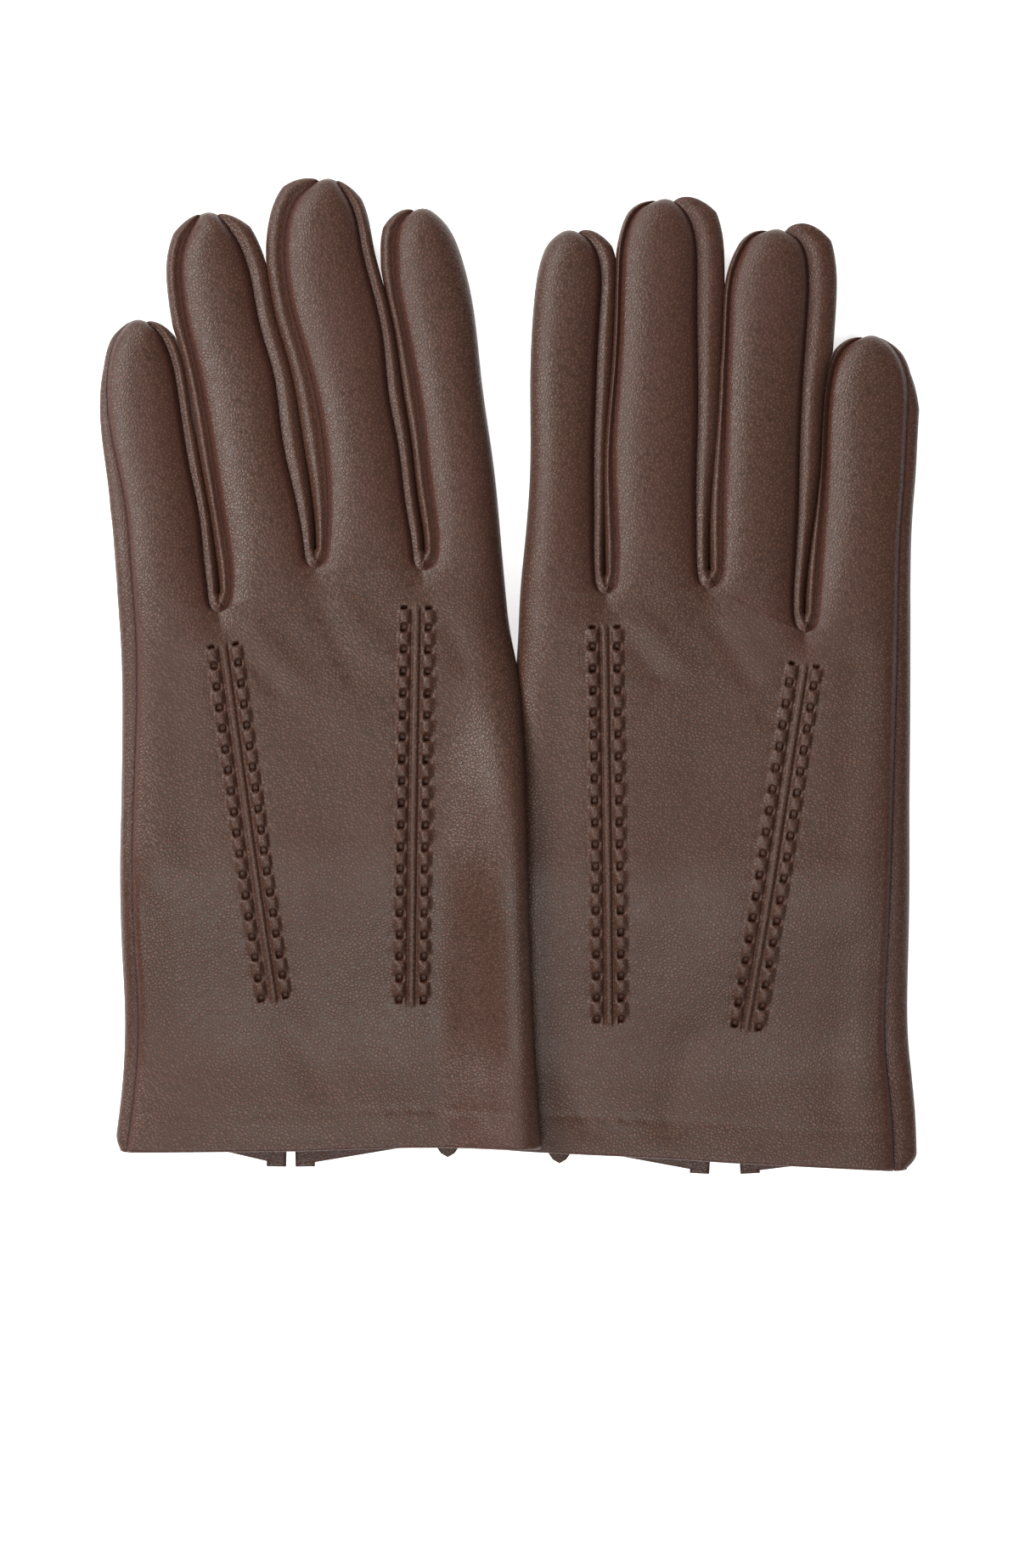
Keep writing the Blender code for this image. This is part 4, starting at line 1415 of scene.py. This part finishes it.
@dataclass
class Glove:
    """One whole glove: its hand, fingers, thumb, laced lines, vent and tab."""

    cut: GloveCut
    finishes: dict[str, bpy.types.Material]

    def build(self) -> None:
        """Makes every piece of the glove and hides the nodes that it stands for; all but the finger panels
        are given a body to ride on.
        """
        cut = self.cut
        hand = Hand(cut)
        parts = hand.build()
        fingers = [Finger(hand, f, n) for n, f in enumerate(cut.fingers)]
        panels: list[tuple[Finger, str, Sheet]] = []
        for number, finger in enumerate(fingers):
            before = fingers[number - 1].inner_line if number else None
            after = fingers[number + 1].outer_line if number < 3 else None
            panels += [(finger, *made) for made in finger.sheets(before, after).items()]
        sew_normals([parts.leather, *(sheet for _, _, sheet in panels)])
        self.dress("hand_leather", [parts.leather], "leather", ("trank",))
        self.dress("hand_lining_knit", [parts.lining], "lining", ("hand_lining",))
        for panel in panels:
            self.finger_piece(*panel)
        self.laces(hand)
        self.vent_binding(hand, parts)
        self.tab(hand)
        self.thumb(hand)

    def dress(self, name: str, sheets: list[Sheet], slot: str, nodes: tuple[str, ...]) -> None:
        """Makes a piece that rides on the hand.

        Args:
            name: The piece's name without the glove's.
            sheets: Its grids.
            slot: Its material slot.
            nodes: The nodes that it stands for, without the glove's name.
        """
        piece = sheet_piece(f"{self.cut.name}_{name}", sheets, self.cut.side, self.finishes[slot])
        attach(piece, f"{self.cut.name}_hand")
        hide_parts(*(f"{self.cut.name}_{n}" for n in nodes))
        LOG.info("%s: %d faces", piece.name, len(piece.data.polygons))

    def finger_piece(self, finger: Finger, panel: str, sheet: Sheet) -> None:
        """Makes one finger panel, which stays where it is built, and hides the nodes that it stands for."""
        cut, finger_name = self.cut, finger.cut.name
        name = f"{cut.name}_{finger_name}_{panel}_leather"
        piece = sheet_piece(name, [sheet], cut.side, self.finishes["leather"])
        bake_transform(piece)
        nodes = [f"{cut.name}_{finger_name}_{n}" for n in FINGER_NODES[finger_name, panel]]
        if panel == "little_side":
            nodes.append(f"{cut.name}_{CROTCH_BESIDE[finger_name]}")
        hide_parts(*nodes)
        LOG.info("%s: %d faces", name, len(piece.data.polygons))

    def laces(self, hand: Hand) -> None:
        """Makes the two leather laces of each laced line, seen in the slots between the puffs."""
        side = self.cut.side
        for row, lacing in self.cut.lacing.items():
            top = np.array(lacing.top) * (side, 1)
            wrist = np.array(lacing.wrist) * (side, 1)
            ahead = (wrist - top) / np.linalg.norm(wrist - top)
            over = np.array([-ahead[1], ahead[0]])
            for place, way in (("inner", -1), ("outer", 1)):
                along = np.arange(0.6, lacing.length - 0.2, 0.3)
                xy = top + ahead * along[:, None] + over * way * lacing.offset
                base = hand.level(xy[:, 0], xy[:, 1]) + hand.half(xy[:, 1])
                height = base - 0.14 * bell(lacing.offset, 3.6)
                phase = np.mod(along, lacing.pitch)
                start = lacing.puff_length + 0.1
                dip = smooth(phase, start + 0.8, lacing.pitch - 0.1) + (phase < 0.7)
                height = height - 0.6 - 0.6 * np.clip(dip, 0, 1)
                path = np.column_stack([xy, height])
                turn = np.linspace(0, 2 * math.pi, 10, endpoint=False)
                ring = np.stack([0.68 * np.cos(turn), 0.26 * np.sin(turn)], -1)
                bar = swept(path, np.array([*over, 0.0]), UPWARD, ring)
                name = f"{row.value}_{place}_leather_lace"
                self.dress(name, [bar], "lace", (f"{row.value}_lace_{place}",))

    def vent_binding(self, hand: Hand, parts: HandSheets) -> None:
        """Makes the bound edge of the vent, a narrow strip folded over the slit's edges."""
        v = hand.rows * HAND_LENGTH
        rows = np.flatnonzero(v <= VENT_LENGTH + 1.3)
        thin = np.unique(np.concatenate([rows[::3], rows[-6:]]))
        right = parts.outer[thin, parts.slit]
        left = parts.outer[thin, parts.slit + 1]
        path = np.concatenate([left, right[::-1][1:]])
        path[0, 1] -= 1.2
        path[-1, 1] -= 1.2
        path[:, 2] += 0.62
        tangent = np.gradient(path, axis=0)
        tangent /= np.linalg.norm(tangent, axis=1)[:, None]
        across = np.cross(UPWARD, tangent)
        across /= np.linalg.norm(across, axis=1)[:, None]
        over = np.cross(tangent, across)
        turn = np.linspace(0, 2 * math.pi, 18, endpoint=False)
        section = squared(turn, 0.6) * (2.5, 0.85) + (1.9, 0.0)
        bar = swept(path, across, over, section)
        self.dress("vent_binding", [bar], "leather", ("vent_facing",))

    def tab(self, hand: Hand) -> None:
        """Makes the small pointed tab that shows below the hem."""
        x0 = self.cut.side * self.cut.tab_x
        y0 = float(hand.hem_y(np.array([x0]), palm=False)[0])
        along = np.linspace(0, 1, 14)
        half = 3.0 * np.sqrt(np.clip(along / 0.24, 0, 1))
        y = mix(y0 - 3.7, y0 + 9.0, along)
        z = hand.level(np.full(14, x0), y) - hand.half(y) + 2.4
        path = np.column_stack([np.full(14, x0), y, z])
        turn = np.linspace(0, 2 * math.pi, 14, endpoint=False)
        ring = np.stack([np.cos(turn), 0.5 * np.sin(turn)], -1)
        profile = ring[None] * np.stack([half, np.full(14, 0.8)], -1)[:, None]
        bar = swept(path, np.array([1.0, 0.0, 0.0]), UPWARD, profile)
        self.dress("tab_leather", [bar], "leather", ("pull_tab",))

    def thumb(self, hand: Hand) -> None:
        """Makes the thumb, a flat stall tucked under the palm, with its seam ring."""
        cut = self.cut
        base = np.array(cut.thumb) * (cut.side, 1)
        ahead = np.array(cut.thumb_ahead) * (cut.side, 1)
        over = np.array([ahead[1], -ahead[0]])
        share = 0.5 - 0.5 * np.cos(np.linspace(0, math.pi, 80))
        y = mix(-THUMB_HALF_WIDTH, THUMB_LENGTH, share)
        ends = np.sqrt(1 - np.clip(1 - (THUMB_LENGTH - y) / 14.0, 0, 1) ** 2.2)
        ends *= np.sqrt(1 - np.clip(-y / THUMB_HALF_WIDTH, 0, 1) ** 2.2)
        narrow = mix(1.0, 0.9, smooth(y, 10, 50))
        turn = np.linspace(0, 2 * math.pi, 48, endpoint=False)
        size = np.stack([THUMB_HALF_WIDTH * ends * narrow, THUMB_HALF_HEIGHT * ends], -1)
        path = np.column_stack([base + ahead * y[:, None], np.full(len(y), THUMB_HALF_HEIGHT)])
        profile = squared(turn, 0.87)[None] * size[:, None]
        bag = swept(path, np.array([*over, 0.0]), UPWARD, profile)
        piece = sheet_piece(f"{cut.name}_thumb_leather", [bag], cut.side, self.finishes["leather"])
        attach(piece, f"{cut.name}_thumb")
        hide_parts(f"{cut.name}_thumb_stall", f"{cut.name}_thumb_lining")
        turns = np.linspace(0, 2 * math.pi, 65)[:, None]
        rings = np.linspace(0, 2 * math.pi, 13)[None, :]
        radius = 10.6 + 0.75 * np.cos(rings)
        east, north = radius * np.cos(turns), radius * np.sin(turns)
        height = 9.3 + 0.6 * np.sin(rings) + 0 * turns
        seam = Sheet(np.dstack([base[0] + east, base[1] + north, height]))
        name = f"{cut.name}_thumb_seam_ring"
        ring = sheet_piece(name, [seam], cut.side, self.finishes["leather"])
        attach(ring, f"{cut.name}_thumb")


def studio() -> None:
    """Makes the lit white table, the soft lights and the camera straight above."""
    bpy.ops.mesh.primitive_plane_add(size=6.0, location=(0.0, 0.0, -0.0004))
    floor = bpy.context.object
    floor.name = "light_table"
    # Opal acrylic lit from below: it stays white where the gloves would shade it.
    acrylic = bpy.data.materials.new("opal_acrylic_backlit")
    acrylic.use_nodes = True
    shader = acrylic.node_tree.nodes["Principled BSDF"]
    shader.inputs["Base Color"].default_value = hex_colour("#FAFAFA")
    shader.inputs["Roughness"].default_value = 0.9
    shader.inputs["Emission Color"].default_value = hex_colour("#FFFFFF")
    shader.inputs["Emission Strength"].default_value = 0.7
    floor.data.materials.append(acrylic)
    world = bpy.data.worlds.new("soft_room")
    world.use_nodes = True
    world.node_tree.nodes["Background"].inputs["Color"].default_value = hex_colour("#FFFFFF")
    world.node_tree.nodes["Background"].inputs["Strength"].default_value = 0.22
    bpy.context.scene.world = world
    bpy.context.scene.view_settings.view_transform = "Standard"
    for name, place, size, power in (
        ("window_softbox", (-1.05, 0.45, 0.9), 0.6, 24.0),
        ("overhead_softbox", (-0.1, -0.75, 1.6), 1.15, 30.0),
        ("far_softbox", (-0.55, 1.3, 0.75), 0.4, 14.0),
    ):
        light = bpy.data.lights.new(name, "AREA")
        light.size = size
        light.energy = power
        light.color = (1.0, 0.98, 0.95)
        lamp = bpy.data.objects.new(name, light)
        lamp.location = place
        lamp.rotation_mode = "QUATERNION"
        lamp.rotation_quaternion = Vector(place).to_track_quat("Z", "Y")
        bpy.context.scene.collection.objects.link(lamp)
    lens = bpy.data.cameras.new("camera")
    lens.lens = 127.2
    lens.sensor_width = 36.0
    lens.clip_start = 0.05
    camera = bpy.data.objects.new("camera", lens)
    camera.location = (0.00038, -0.02607, 1.4)
    bpy.context.scene.collection.objects.link(camera)
    bpy.context.scene.camera = camera


def main() -> None:
    """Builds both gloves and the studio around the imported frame."""
    logging.basicConfig(level=logging.INFO, format="%(name)s: %(message)s")
    for obj in list(bpy.data.objects):
        bpy.data.objects.remove(obj)
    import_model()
    finishes = {
        "leather": Nappa("nappa_leather_drum_dyed", "#483026", "#2D1E17", "#3C2019", 0.4).material(),
        "lace": Nappa("leather_lace_cut_strip", "#3C221B", "#26160F", "#37190F", 0.5).material(),
        "lining": Knit("brushed_knit_lining", "#5A3F33", "#3A2820").material(),
    }
    studio()
    for cut in (LEFT, RIGHT):
        Glove(cut, finishes).build()


if __name__ == "__main__":
    main()
